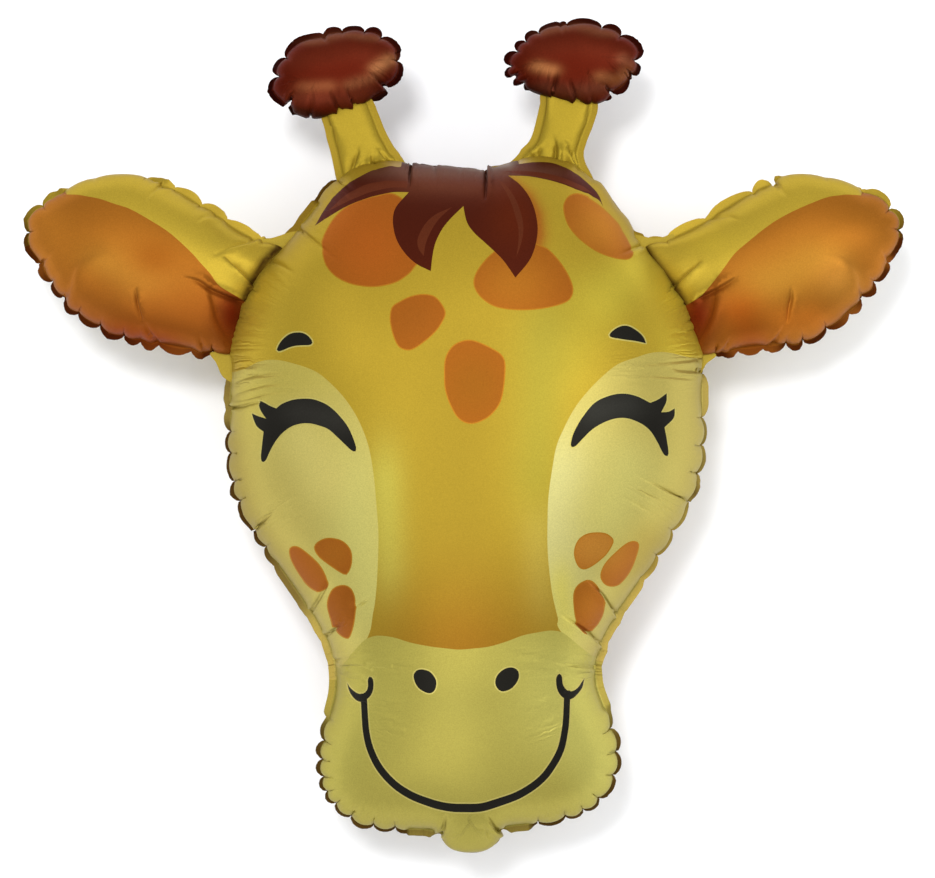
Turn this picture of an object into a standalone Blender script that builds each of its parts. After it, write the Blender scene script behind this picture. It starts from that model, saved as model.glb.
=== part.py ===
"""A giraffe's head as an inflated foil balloon, lying on its back with the face up.

Two printed foils are welded together round their edge and filled with gas. The frame has +X
to the right of the face, +Y up the face and +Z out of it. The origin is under the middle of
the balloon, on the surface that its back rests on.
"""

import math
import random

import bmesh
import bpy
import numpy as np
from mathutils import Vector
from mathutils.geometry import delaunay_2d_cdt

# Driving dimensions, in metres
BALLOON_WIDTH = 0.750  # ear tip to ear tip
SEAL_WIDTH = 0.0078  # the flat welded edge outside the seam
SEAL_THICKNESS = 0.0010  # both foils of that edge
REST_DEPTH = 0.0060  # how far the back is flattened where the balloon rests
HEAD_GATHER_PITCH = 0.0185  # seam length between two notches of the gathered edge
EAR_GATHER_PITCH = 0.0145
HORN_GATHER_PITCH = 0.0190
HEAD_GATHER_DEPTH = 0.0016  # how far a notch of that edge is drawn in, at the seam
EAR_GATHER_DEPTH = 0.0017
HORN_GATHER_DEPTH = 0.0025
GATHER_REACH = 0.0240  # how far a gather runs into the foil before it fades
TAIL_WIDTH = 0.0450  # the filling neck at the chin, pressed flat
TAIL_LENGTH = 0.0235

# Free shapes
FULLNESS = 0.60  # a foil disc blows up to 0.6 of its radius each side of the seam
TAIL_SQUARENESS = 0.5  # 1 is an oval, less has fuller corners

# Shape of the gathers
POINTS_PER_LOBE = 3  # the first is in the notch
LOBE_WAVE = (-1.0, 0.5, 0.5)  # a notch is twice as deep as a lobe is high
EDGE_SWING = 1.7  # the outer edge swings in and out more than the seam
PITCH_SPREAD = 0.22  # lobes differ in length by up to this share
SWING_SPREAD = 0.35  # and in height by up to this share
FULL_GATHER_RADIUS = 0.30  # a seam that bends tighter than this is fully gathered
BEND_WINDOW = 0.030  # seam length over which the bend is measured

# Mesh spacing, in metres
EDGE_STEP = 0.0062
NEAR_STEP = 0.0098
FAR_STEP = 0.0185
NEAR_BAND = 0.024
SEAM_CLEARANCE = 0.6  # of the spacing, between a grid point and an outline
SHORTEST_SIDE = 0.0012
EPSILON = 1e-6

# Outlines of the seam, in thousandths of the balloon's width from the middle of the face
HEAD = (
    (-13, 291), (-61, 292), (-106, 287), (-146, 271), (-183, 229), (-214, 184), (-242, 134),
    (-253, 85), (-256, 30), (-257, -24), (-248, -70), (-224, -114), (-184, -172), (-157, -213),
    (-142, -247), (-138, -286), (-149, -334), (-154, -370), (-146, -406), (-110, -434),
    (-50, -443), (20, -441), (90, -433), (138, -419), (164, -391), (170, -356), (159, -315),
    (147, -278), (151, -243), (170, -202), (212, -141), (238, -99), (259, -53), (267, -8),
    (266, 50), (259, 102), (244, 155), (211, 205), (170, 251), (128, 279), (85, 289), (38, 291),
)
LEFT_EAR = (
    (-202, 213), (-230, 217), (-256, 229), (-283, 248), (-312, 265), (-344, 281), (-378, 287),
    (-413, 284), (-446, 271), (-470, 259), (-484, 243), (-485, 222), (-474, 200), (-460, 174),
    (-443, 153), (-419, 135), (-392, 120), (-357, 111), (-318, 104), (-282, 98), (-254, 102),
    (-224, 122), (-200, 155), (-192, 186),
)
RIGHT_EAR = (
    (262, 102), (286, 98), (316, 103), (349, 107), (378, 109), (401, 119), (424, 136),
    (443, 153), (460, 168), (473, 189), (482, 209), (491, 230), (487, 248), (471, 264),
    (445, 274), (415, 284), (378, 287), (343, 277), (309, 258), (283, 242), (258, 228),
    (229, 216), (207, 212), (198, 188), (208, 152), (233, 120),
)
LEFT_STALK = (
    (-59, 276), (-70, 295), (-81, 312), (-91, 329), (-97, 346), (-102, 367), (-110, 384),
    (-132, 388), (-149, 378), (-149, 360), (-144, 338), (-140, 316), (-137, 294), (-130, 272),
    (-92, 260),
)
RIGHT_STALK = (
    (148, 272), (134, 297), (129, 318), (134, 338), (142, 358), (147, 382), (123, 392),
    (96, 388), (94, 366), (91, 344), (82, 322), (67, 305), (48, 288), (60, 268), (100, 262),
)
LEFT_BULB = (
    (-76, 413), (-78, 435), (-97, 451), (-124, 455), (-153, 450), (-183, 440), (-202, 421),
    (-210, 396), (-199, 380), (-172, 365), (-143, 371), (-117, 379), (-92, 392),
)
RIGHT_BULB = (
    (196, 435), (182, 449), (161, 458), (134, 465), (102, 458), (79, 449), (64, 435), (55, 417),
    (62, 405), (78, 397), (102, 388), (125, 383), (146, 380), (164, 388), (182, 401), (195, 417),
)
# Flat webs of foil left in the corners between the ears and the head
WEBS = (
    ((-215, 205), (-196, 205), (-182, 225), (-190, 231), (-214, 224), (-238, 220)),
    ((200, 212), (215, 208), (236, 214), (240, 228), (220, 223), (195, 227)),
    ((-284, 94), (-278, 82), (-270, 66), (-256, 62), (-253, 92)),
    ((288, 92), (260, 97), (259, 72), (270, 70), (277, 81)),
)
TAIL_MIDDLE = (11, -444)

# Foil material
FOIL_COLOUR = (0.72, 0.50, 0.045, 1.0)
FOIL_METALLIC = 0.35
FOIL_ROUGHNESS = 0.34


def placed(points):
    """Outline points in metres, from thousandths of the balloon's width."""
    return np.array(points, float) * (BALLOON_WIDTH / 1000.0)


def at_runs(points, shares):
    """Points of a closed line at the given shares of its length."""
    closed = np.vstack([points, points[:1]])
    run = np.concatenate([[0.0], np.cumsum(np.linalg.norm(np.diff(closed, axis=0), axis=1))])
    return np.stack([np.interp(shares * run[-1], run, closed[:, k]) for k in (0, 1)], axis=1)


def length_of(points):
    """Length of a closed line."""
    return float(np.linalg.norm(points - np.roll(points, 1, 0), axis=1).sum())


def even_loop(points, step):
    """The closed line again, with its points about step apart."""
    count = max(8, round(length_of(points) / step))
    return at_runs(points, np.arange(count) / count)


def smooth_line(points):
    """A dense closed curve through the points, as Catmull-Rom spans."""
    before, after, later = np.roll(points, 1, 0), np.roll(points, -1, 0), np.roll(points, -2, 0)
    spans = []
    for t in np.linspace(0.0, 1.0, 12, endpoint=False):
        spans.append(
            0.5 * (
                2 * points
                + (after - before) * t
                + (2 * before - 5 * points + 4 * after - later) * t**2
                + (3 * points - before - 3 * after + later) * t**3
            )
        )
    return np.stack(spans, axis=1).reshape(-1, 2)


def tail_line():
    """The filling neck: a flat oval with full corners, its upper half under the seal."""
    angle = np.linspace(0.0, 2 * math.pi, 240, endpoint=False)
    across, down = np.cos(angle), np.sin(angle)
    x = 0.5 * TAIL_WIDTH * np.sign(across) * np.abs(across) ** TAIL_SQUARENESS
    y = TAIL_LENGTH * np.sign(down) * np.abs(down) ** TAIL_SQUARENESS
    return placed(TAIL_MIDDLE) + np.stack([x, y], axis=1)


def outward(loop):
    """Unit normals that point out of a counterclockwise loop."""
    along = np.roll(loop, -1, 0) - np.roll(loop, 1, 0)
    along /= np.linalg.norm(along, axis=1)[:, None]
    return np.stack([along[:, 1], -along[:, 0]], axis=1)


def inside(points, loop):
    """Which of the points lie inside a closed loop."""
    x, y = points[:, 0][:, None], points[:, 1][:, None]
    ahead = np.roll(loop, -1, 0)
    spans = (loop[:, 1] > y) != (ahead[:, 1] > y)
    rise = np.where(ahead[:, 1] == loop[:, 1], 1.0, ahead[:, 1] - loop[:, 1])
    crossing = loop[:, 0] + (y - loop[:, 1]) * (ahead[:, 0] - loop[:, 0]) / rise
    return (spans & (x < crossing)).sum(axis=1) % 2 == 1


def nearest(points, loop):
    """How far each point is from a loop, and the index of the loop's nearest point."""
    gap = np.linalg.norm(points[:, None, :] - loop[None, :, :], axis=2)
    index = gap.argmin(axis=1)
    return gap[np.arange(len(points)), index], index


def gathered(line, pitch, depth, chance):
    """A seam along a dense line, and how far each of its points is drawn in or out.

    Foil gathers only where the seam bends outward, so the waves fade on straight and hollow
    stretches. The lobes differ in length and height as real ones do.
    """
    lobes = max(4, round(length_of(line) / pitch))
    widths = np.array([1.0 + PITCH_SPREAD * chance.uniform(-1, 1) for _ in range(lobes)])
    heights = np.array([1.0 + SWING_SPREAD * chance.uniform(-1, 1) for _ in range(lobes)])
    notches = np.concatenate([[0.0], np.cumsum(widths)]) / widths.sum()
    shares = np.interp(
        np.arange(lobes * POINTS_PER_LOBE) / POINTS_PER_LOBE, np.arange(lobes + 1), notches
    )
    seam = at_runs(line, shares)
    window = max(1, round(BEND_WINDOW / (length_of(line) / len(seam))))
    facing = outward(seam)
    before, after = np.roll(facing, window, 0), np.roll(facing, -window, 0)
    turn = before[:, 0] * after[:, 1] - before[:, 1] * after[:, 0]
    bend = np.arcsin(np.clip(turn, -1, 1)) / (2 * BEND_WINDOW)
    amount = np.clip(bend * FULL_GATHER_RADIUS, 0.0, 1.0)
    wave = np.tile(LOBE_WAVE, lobes) * np.repeat(heights, POINTS_PER_LOBE)
    return seam, wave * amount * depth


def chambers():
    """The seam of each blown chamber and the swing of its gathers."""
    chance = random.Random(7)
    head = (HEAD_GATHER_PITCH, HEAD_GATHER_DEPTH)
    ear = (EAR_GATHER_PITCH, EAR_GATHER_DEPTH)
    horn = (HORN_GATHER_PITCH, HORN_GATHER_DEPTH)
    stalk = (HORN_GATHER_PITCH, 0.0)
    lines = (
        (smooth_line(placed(HEAD)), head),
        (smooth_line(placed(LEFT_EAR)), ear),
        (smooth_line(placed(RIGHT_EAR)), ear),
        (smooth_line(placed(LEFT_STALK)), stalk),
        (smooth_line(placed(RIGHT_STALK)), stalk),
        (smooth_line(placed(LEFT_BULB)), horn),
        (smooth_line(placed(RIGHT_BULB)), horn),
    )
    return [gathered(line, pitch, depth, chance) for line, (pitch, depth) in lines]


def grid_points(low, high, step):
    """Points of a triangular grid over a box."""
    rows = []
    row_step = step * math.sqrt(0.75)
    for row in range(int((high[1] - low[1]) / row_step) + 2):
        start = low[0] + (row % 2) * 0.5 * step
        xs = np.arange(start, high[0] + step, step)
        rows.append(np.stack([xs, np.full(len(xs), low[1] + row * row_step)], axis=1))
    return np.vstack(rows)


def fill_points(border, lines):
    """Grid points for the foil, close together near the outlines and wide apart elsewhere."""
    low, high = border.min(axis=0), border.max(axis=0)
    kept = []
    for step, start, end in (
        (NEAR_STEP, SEAM_CLEARANCE * NEAR_STEP, NEAR_BAND),
        (FAR_STEP, NEAR_BAND, math.inf),
    ):
        points = grid_points(low, high, step)
        points = points[inside(points, border)]
        gap, _ = nearest(points, lines)
        kept.append(points[(gap > start) & (gap <= end)])
    return np.vstack(kept)


def clear_runs(loop, others):
    """The pairs of neighbouring loop points that lie outside all the other loops."""
    hidden = np.zeros(len(loop), bool)
    for other in others:
        hidden |= inside(loop, other)
    count = len(loop)
    return [(i, (i + 1) % count) for i in range(count) if not (hidden[i] or hidden[(i + 1) % count])]


def united(loops):
    """The outer line round overlapping loops, as one counterclockwise loop."""
    points, faces = [], []
    for loop in loops:
        faces.append(list(range(len(points), len(points) + len(loop))))
        points.extend(Vector(p) for p in loop)
    cut = delaunay_2d_cdt(points, [], faces, 0, EPSILON, True)
    sides = set()
    for triangle, origin in zip(cut[2], cut[5]):
        if origin:
            sides.update(zip(triangle, triangle[1:] + triangle[:1]))
    ahead = {a: b for a, b in sides if (b, a) not in sides}
    start = max(ahead, key=lambda index: cut[0][index].x)
    line, at = [start], ahead[start]
    while at != start:
        line.append(at)
        at = ahead[at]
    line = np.array([cut[0][index] for index in line], float)
    steps = np.linalg.norm(line - np.roll(line, 1, 0), axis=1)
    return line[steps > SHORTEST_SIDE]


def flat_sheet(seams, border):
    """The foil laid flat: its points, its triangles, and which seams each triangle is inside.

    The seam of the head is kept whole, because the ears and stalks crease along it. The
    others are kept where they can be seen.
    """
    points, sides = [Vector(p) for p in border], []
    for index, seam in enumerate(seams):
        start = len(points)
        points.extend(Vector(p) for p in seam)
        others = seams[:index] + seams[index + 1 :] if index else []
        sides += [(start + a, start + b) for a, b in clear_runs(seam, others)]
    used = {index for side in sides for index in side} | set(range(len(border)))
    order = sorted(used)
    number = {index: place for place, index in enumerate(order)}
    points = [points[index] for index in order]
    sides = [(number[a], number[b]) for a, b in sides]
    points += [Vector(p) for p in fill_points(border, np.array([p[:] for p in points]))]
    cut = delaunay_2d_cdt(points, sides, [list(range(len(border)))], 0, EPSILON, True)
    flat = np.array([p[:] for p in cut[0]], float)
    triangles = np.array([face for face, origin in zip(cut[2], cut[5]) if origin])
    middles = flat[triangles].mean(axis=1)
    owners = np.stack([inside(middles, seam) for seam in seams], axis=1)
    return flat, triangles, owners


def membrane(flat, triangles):
    """Height at each point of a membrane, held along its rim, under an even load of 4."""
    count = len(flat)
    corner = flat[triangles]
    starts, ends, weights = [], [], []
    load = np.zeros(count)
    for k in range(3):
        tip, a, b = corner[:, k], corner[:, (k + 1) % 3], corner[:, (k + 2) % 3]
        u, v = a - tip, b - tip
        doubled = np.abs(u[:, 0] * v[:, 1] - u[:, 1] * v[:, 0])
        starts.append(triangles[:, (k + 1) % 3])
        ends.append(triangles[:, (k + 2) % 3])
        weights.append(0.5 * (u * v).sum(axis=1) / doubled)
        load += np.bincount(triangles[:, k], 4.0 * doubled / 6.0, count)
    starts, ends, weights = map(np.concatenate, (starts, ends, weights))
    sides = np.sort(np.stack([starts, ends], axis=1), axis=1)
    _, which, uses = np.unique(sides, axis=0, return_index=True, return_counts=True)
    held = np.ones(count, bool)
    held[triangles] = False
    held[sides[which[uses == 1]]] = True
    diagonal = np.bincount(starts, weights, count) + np.bincount(ends, weights, count)
    diagonal[held] = 1.0

    def pull(height):
        """The membrane's own pull on each free point."""
        flow = weights * (height[starts] - height[ends])
        total = np.bincount(starts, flow, count) - np.bincount(ends, flow, count)
        total[held] = 0.0
        return total

    # Conjugate gradients
    height = np.zeros(count)
    rest = np.where(held, 0.0, load)
    step = rest / diagonal
    energy = float(rest @ step)
    goal = energy * 1e-14
    for _ in range(2000):
        if energy <= goal:
            break
        drawn = pull(step)
        length = energy / float(step @ drawn)
        height += length * step
        rest -= length * drawn
        scaled = rest / diagonal
        fresh = float(rest @ scaled)
        step = scaled + (fresh / energy) * step
        energy = fresh
    return np.maximum(height, 0.0)


def inflated(flat, triangles, owners):
    """How far each point is blown up from the seam's plane, and the seam that it belongs to."""
    heights = [FULLNESS * np.sqrt(membrane(flat, triangles[owned])) for owned in owners.T]
    return np.max(heights, axis=0), np.argmax(heights, axis=0)


def gathers(flat, blown, owner, seams, swings):
    """How far each point is drawn out by the gathers, and the seam's normal beside it."""
    gaps, indexes = map(np.array, zip(*(nearest(flat, seam) for seam in seams)))
    owner = np.where(blown > 0, owner, gaps.argmin(axis=0))
    facing, swing, gap = np.zeros((len(flat), 2)), np.zeros(len(flat)), np.zeros(len(flat))
    for number, seam in enumerate(seams):
        own = owner == number
        index = indexes[number, own]
        facing[own] = outward(seam)[index]
        swing[own] = swings[number][index]
        gap[own] = gaps[number, own]
    fade = np.exp(-((gap / GATHER_REACH) ** 2))
    growth = 1.0 + (EDGE_SWING - 1.0) * np.clip(gap / SEAL_WIDTH, 0.0, 1.0)
    return swing * np.where(blown > 0, fade, growth), facing


def foil_border(seams):
    """The outer edge of the welded foil, round every chamber, web and the filling neck."""
    edges = [seam + SEAL_WIDTH * outward(seam) for seam in seams]
    edges += [even_loop(smooth_line(placed(web)), EDGE_STEP) for web in WEBS]
    edges.append(even_loop(tail_line(), EDGE_STEP))
    return united(edges)


def make_balloon():
    """The whole balloon as one closed body, with its seam's plane at Z = 0."""
    seams, swings = map(list, zip(*chambers()))
    flat, triangles, owners = flat_sheet(seams, foil_border(seams))
    blown, owner = inflated(flat, triangles, owners)
    amount, facing = gathers(flat, blown, owner, seams, swings)

    # Both foils start as one flat sheet, extruded to the thickness of the seal
    bm = bmesh.new()
    place = bm.verts.layers.int.new("place")
    back = [bm.verts.new((x, y, 0.0)) for x, y in flat]
    for index, vert in enumerate(back):
        vert[place] = index
    for triangle in triangles:
        bm.faces.new([back[index] for index in triangle])
    extruded = bmesh.ops.extrude_face_region(bm, geom=bm.faces[:])["geom"]
    front = [item for item in extruded if isinstance(item, bmesh.types.BMVert)]
    for sign, foil_verts in ((1.0, front), (-1.0, back)):
        for vert in foil_verts:
            vert.co.z = sign * (0.5 * SEAL_THICKNESS + blown[vert[place]])
    bmesh.ops.recalc_face_normals(bm, faces=bm.faces[:])
    bm.normal_update()
    for vert in bm.verts:
        index = vert[place]
        way = vert.normal if blown[index] > 0 else Vector((*facing[index], 0.0))
        vert.co += way * float(amount[index])
    return bm


def rest_on_back(bm):
    """Presses a small flat spot into the back and stands the balloon on it at Z = 0."""
    low = min(vert.co.z for vert in bm.verts)
    level = low + REST_DEPTH
    cut = bmesh.ops.bisect_plane(
        bm,
        geom=bm.verts[:] + bm.edges[:] + bm.faces[:],
        dist=EPSILON,
        plane_co=(0.0, 0.0, level),
        plane_no=(0.0, 0.0, -1.0),
        clear_outer=True,
    )
    rim = [item for item in cut["geom_cut"] if isinstance(item, bmesh.types.BMVert)]
    bmesh.ops.remove_doubles(bm, verts=rim, dist=SHORTEST_SIDE)
    open_sides = [edge for edge in bm.edges if edge.is_boundary]
    bmesh.ops.contextual_create(bm, geom=open_sides)
    xs = [vert.co.x for vert in bm.verts]
    ys = [vert.co.y for vert in bm.verts]
    middle = Vector((0.5 * (min(xs) + max(xs)), 0.5 * (min(ys) + max(ys)), level))
    bmesh.ops.translate(bm, vec=-middle, verts=bm.verts[:])
    bmesh.ops.recalc_face_normals(bm, faces=bm.faces[:])


def foil():
    """Satin printed foil."""
    material = bpy.data.materials.new("foil")
    material.use_nodes = True
    shader = material.node_tree.nodes["Principled BSDF"]
    shader.inputs["Base Color"].default_value = FOIL_COLOUR
    shader.inputs["Metallic"].default_value = FOIL_METALLIC
    shader.inputs["Roughness"].default_value = FOIL_ROUGHNESS
    return material


def main():
    for old in list(bpy.data.objects):
        bpy.data.objects.remove(old, do_unlink=True)
    collection = bpy.data.collections.new("giraffe_foil_balloon")
    bpy.context.scene.collection.children.link(collection)
    bm = make_balloon()
    rest_on_back(bm)
    mesh = bpy.data.meshes.new("foil_balloon")
    bm.to_mesh(mesh)
    bm.free()
    mesh.materials.append(foil())
    mesh.shade_smooth()
    balloon = bpy.data.objects.new("foil_balloon", mesh)
    collection.objects.link(balloon)


if __name__ == "__main__":
    main()
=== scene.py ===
"""The looks of a giraffe's head made as an inflated foil balloon, lying on its back.

Every blown chamber is laid out flat, cut along the lines of its print, blown up as a membrane,
gathered at its seam and then relaxed as foil, which can fold but hardly stretches. The print
is painted face by face, so its borders stay sharp, and the soft shades of the inks run over it:
partly the print's own gradients, partly painted highlights, sheen and shade. The seal is painted
darker as painted shade, and where it lies smooth it takes a painted reflection tint.
"""

import logging
import math
import random
from dataclasses import dataclass, replace
from enum import Enum

import bmesh
import bpy
import numpy as np
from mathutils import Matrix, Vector
from mathutils.bvhtree import BVHTree
from mathutils.geometry import delaunay_2d_cdt
from mathutils.kdtree import KDTree


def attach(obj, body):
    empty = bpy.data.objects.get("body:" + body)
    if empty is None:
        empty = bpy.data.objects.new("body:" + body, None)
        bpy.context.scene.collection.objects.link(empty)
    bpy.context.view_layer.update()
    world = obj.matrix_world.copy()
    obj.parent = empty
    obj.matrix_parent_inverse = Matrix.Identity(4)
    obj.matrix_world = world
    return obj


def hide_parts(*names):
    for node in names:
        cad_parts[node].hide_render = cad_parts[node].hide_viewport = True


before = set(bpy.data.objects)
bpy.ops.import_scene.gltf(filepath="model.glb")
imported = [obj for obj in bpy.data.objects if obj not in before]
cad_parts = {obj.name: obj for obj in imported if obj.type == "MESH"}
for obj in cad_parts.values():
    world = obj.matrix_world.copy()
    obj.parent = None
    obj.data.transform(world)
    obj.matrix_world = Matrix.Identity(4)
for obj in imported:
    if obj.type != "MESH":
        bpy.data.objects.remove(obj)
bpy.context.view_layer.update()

MM = 0.001
FOIL_NODE = "foil_balloon"

# Places and the print
OUTLINE_UNIT = 0.00075  # outlines of the seams are in thousandths of the balloon's width
OUTLINE_SHIFT = (-0.002373442, -0.000402063)  # moves the outlines' middle to the frame's
SEAM_HEIGHT = 0.122286361  # the seam's plane above the surface that the balloon lies on
FLOOR_GAP = 0.3 * MM
PRINT_STEP = 2.4  # picture points between two points of a print outline
HALO_WIDTH = 1.3  # of the pale line round a black shape, in picture points
SPOT_RIM = (0.9, -0.3)  # how far a spot's rim and its inside are grown, in picture points
TUCK_EASE = 8.0  # picture points over which a tuck sets in

# The blown foil
FULLNESS = 0.60  # a foil disc blows up to 0.6 of its radius each side of the seam
FULL_EXCESS = 0.31  # and its seam is gathered in to 1 / 1.31 of its length
HALF_WIDTH_SHARE = 1.12  # a chamber's half width, over the distance of its middle from the seam
OUTLINE_STEP = 0.5 * MM  # between two points of the traced seam
RING_STEP = 2.6 * MM  # height between two rings of the steep band beside the seam
NOTCH_COLUMNS = (0.7 * MM, 1.6 * MM)  # where the mesh has columns beside a notch

# Gathers of the seam
BEND_WINDOW = 15 * MM  # seam length each way over which its bend is measured
MOST_EXCESS = 0.36  # the most spare length that a bend gives, as a share
FULL_SPARE = 0.16  # the spare length that gathers a seam into full lobes, as a share
PITCH_SPREAD = 0.40  # how far a notch strays from its even place, in lobes
NOTCH_WIDTH = 0.13  # of the pitch
NOTCH_GAP = 6.0 * MM  # notches of the picture that lie closer than this are one
SWING_PITCH = 20.0 * MM  # the pitch that sets how deep the gathers are
CROWN_SHAPE = 0.62  # the lower, the squarer a lobe
CROWN_REACH = 11 * MM  # how far the crown of a lobe runs in from the seam
CREASE_REACHES = (8 * MM, 10 * MM, 13 * MM, 19 * MM)  # and the valleys between the lobes
BULGE = 2.6 * MM  # how far a lobe stands out over the seam
BULGE_REACH = 6.0 * MM  # where it stands out most

# Sharp folds
CREASE_DEPTH = 1.7 * MM  # of a crease with a depth of 1
FOLD_LENGTHS = (9 * MM, 12 * MM, 16 * MM, 22 * MM, 34 * MM)  # of the folds that notches send out
FOLD_DEPTH = (2.2, 1.3, 0.0)  # in millimetres, at their start, in their middle and at their end
LEAST_STRENGTH = 0.15  # of a notch that sends out a fold
FLANKS = (-1.9, -0.8, 0.8, 1.9)  # where the mesh is fine beside a fold, in its half widths
FOLD_REACH = 9.0  # how far a fold can be felt, in its half widths
VALLEY_WIDTH = 0.8  # in half widths of the fold
SHOULDER = (0.35, 2.4, 1.2)  # height, place and width of the shoulder beside the valley
STEP_WIDTHS = (0.6, 4.5)  # over which the step beside a fold rises and fades

# The seal, and the shade painted on it
SEAL_RINGS = 3  # steps of the mesh across the seal
LEAN = (8.0, 44.0)  # how far the seal of a lobe leans back, in degrees
SEAL_PRINT = 2.5 * MM  # how far outside the seam the seal's own ink is read
FULL_LOBE = 14.0 * MM  # a shorter lobe has a narrower seal
LOBE_SHARE = 0.85  # the width of the seal in full lobes, as a share
SEAL_PINCH = 0.12  # the seal's visible width at a notch, as a share
# The seal is painted darker, as painted shade on its lobes where they lean back from the light
SEAL_SHADE_TINT = np.array((0.20, 0.12, 0.10))  # what the darkest seal leaves of the ink
SEAL_SHADE_LEVELS = (0.72, 1.0)  # how dark the seal is where it is even, and where it is lobed

# Fine puckers
PUCKER_STRETCH = 0.10  # how far their pattern is drawn out across the seam
PUCKER_GROUND = 0.35  # their strength along every lobed seam
PUCKER_REACH = 18 * MM  # how far they run in from it

# Relaxing
OVERSHOOT = 1.4  # how much of a stretch is taken up at a time, over its even share
PUSH_STIFFNESS = 0.6  # of foil that is pushed together, next to foil that is pulled
PRESSURE_STEP = 0.006 * MM  # how far the gas moves the foil each round
FACING_ROUNDS = 10  # rounds between two looks at where the gas presses
BENDING = 0.02  # the share of a bend that smooths out each round
ANCHOR = 0.002  # the share of a move that is taken back each round
MOST_MOVE = 7.0 * MM

Array = np.ndarray
Points = tuple[tuple[float, float], ...]
Colour = tuple[float, float, float]
Edges = list[bmesh.types.BMEdge]
log = logging.getLogger("giraffe_balloon")


class Ink(Enum):
    """The inks of the print, as linear colours on the foil."""

    YELLOW = (0.42, 0.285, 0.026)
    CHEEK = (0.50, 0.41, 0.10)
    MUZZLE = (0.4, 0.34, 0.068)
    ORANGE = (0.34, 0.098, 0.01)
    EAR_YELLOW = (0.475, 0.33, 0.034)
    EAR = (0.36, 0.125, 0.013)
    HAIR = (0.075, 0.012, 0.005)
    HAIR_LIGHT = (0.12, 0.026, 0.01)
    BROWN = (0.095, 0.0085, 0.0025)
    BLACK = (0.016, 0.015, 0.012)
    HALO = (0.54, 0.46, 0.125)
    SPOT_RIM = (0.42, 0.17, 0.014)
    WEB = (0.35, 0.25, 0.030)


# The inks that are on the back foil too
BACK_INKS = (Ink.HAIR, Ink.HAIR_LIGHT, Ink.BROWN, Ink.ORANGE, Ink.SPOT_RIM)


class Side(Enum):
    """The two foils of the balloon."""

    FRONT = 1
    BACK = -1


@dataclass(frozen=True)
class Picture:
    """Where a point of the picture lies on the balloon.

    The picture is 935 points wide and 878 high, and the print is laid out in its points.
    """

    width: int = 935
    height: int = 878
    point: float = 0.8494 * MM  # a picture point at the height of the seam
    middle: tuple[float, float] = (464.5, 435.0)  # the picture point over the origin
    distance: float = 3.0  # from the camera to the seam's plane

    def camera_place(self) -> Vector:
        """The camera's place.

        Returns:
            A point over the middle of the picture.
        """
        x = (0.5 * self.width - self.middle[0]) * self.point
        y = (self.middle[1] - 0.5 * self.height) * self.point
        return Vector((x, y, SEAM_HEIGHT + self.distance))

    def on_seam_plane(self, points: Array) -> Array:
        """Plan places of picture points that lie at the height of the seam."""
        return (points - np.array(self.middle)) * np.array([self.point, -self.point])

    def on_foil(self, points: Array, solid: BVHTree) -> Array:
        """Plan places of picture points on the front of the balloon.

        Args:
            points: Picture points, one per row.
            solid: The CAD solid.

        Returns:
            Their x and y on the foil, or on the seam's plane beside it.
        """
        places = self.on_seam_plane(points)
        start = self.camera_place()
        for row, (x, y) in enumerate(places):
            hit = solid.ray_cast(start, Vector((x, y, SEAM_HEIGHT)) - start)[0]
            if hit is not None and hit.z > SEAM_HEIGHT:
                places[row] = hit.x, hit.y
        return places

    def seen(self, places: Array) -> Array:
        """Where the camera sees points of the frame.

        Args:
            places: Points of the frame, one per row.

        Returns:
            Their picture points.
        """
        eye = np.array(self.camera_place())
        reach = self.distance / (eye[2] - places[:, 2])
        plan = eye[:2] + (places[:, :2] - eye[:2]) * reach[:, None]
        return plan / np.array([self.point, -self.point]) + np.array(self.middle)


PICTURE = Picture()


def placed(points: Points) -> Array:
    """Outline points in the plan of the frame, in metres."""
    return np.array(points, float) * OUTLINE_UNIT + np.array(OUTLINE_SHIFT)


def spline(points: Array, closed: bool, steps: int = 10) -> Array:
    """A dense curve through points, as Catmull-Rom spans.

    Args:
        points: Points of the plane, one per row.
        closed: Whether the curve runs back to its first point.
        steps: Points per span.

    Returns:
        Points of the curve.
    """
    if closed:
        held = np.vstack([points[-1:], points, points[:2]])
    else:
        held = np.vstack([2 * points[:1] - points[1:2], points, 2 * points[-1:] - points[-2:-1]])
    before, at, after, later = held[:-3], held[1:-2], held[2:-1], held[3:]
    spans = []
    for t in np.linspace(0.0, 1.0, steps, endpoint=False):
        spans.append(
            0.5 * (
                2 * at
                + (after - before) * t
                + (2 * before - 5 * at + 4 * after - later) * t**2
                + (3 * at - before - 3 * after + later) * t**3
            )
        )
    curve = np.stack(spans, axis=1).reshape(-1, 2)
    return curve if closed else np.vstack([curve, points[-1:]])


def runs_of(points: Array) -> Array:
    """Length along a line up to each of its points."""
    return np.concatenate([[0.0], np.cumsum(np.linalg.norm(np.diff(points, axis=0), axis=1))])


def even_line(points: Array, step: float, closed: bool) -> Array:
    """The line again with its points evenly apart.

    Args:
        points: Points of the line.
        step: About how far apart the new points are.
        closed: Whether the line is a loop, which doesn't repeat its first point.

    Returns:
        The new points.
    """
    line = np.vstack([points, points[:1]]) if closed else points
    run = runs_of(line)
    count = max(8 if closed else 1, round(run[-1] / step))
    shares = np.linspace(0.0, run[-1], count + 1)
    even = np.stack([np.interp(shares, run, line[:, k]) for k in (0, 1)], axis=1)
    return even[:-1] if closed else even


def area_of(loop: Array) -> float:
    """Signed area of a closed loop, above zero where it runs counterclockwise."""
    ahead = np.roll(loop, -1, 0)
    return 0.5 * float((loop[:, 0] * ahead[:, 1] - loop[:, 1] * ahead[:, 0]).sum())


def outward(loop: Array) -> Array:
    """Unit normals that point out of a loop.

    Args:
        loop: Points of a counterclockwise loop.

    Returns:
        The normal at each point.
    """
    along = np.roll(loop, -1, 0) - np.roll(loop, 1, 0)
    along /= np.linalg.norm(along, axis=1)[:, None]
    return np.stack([along[:, 1], -along[:, 0]], axis=1)


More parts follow.
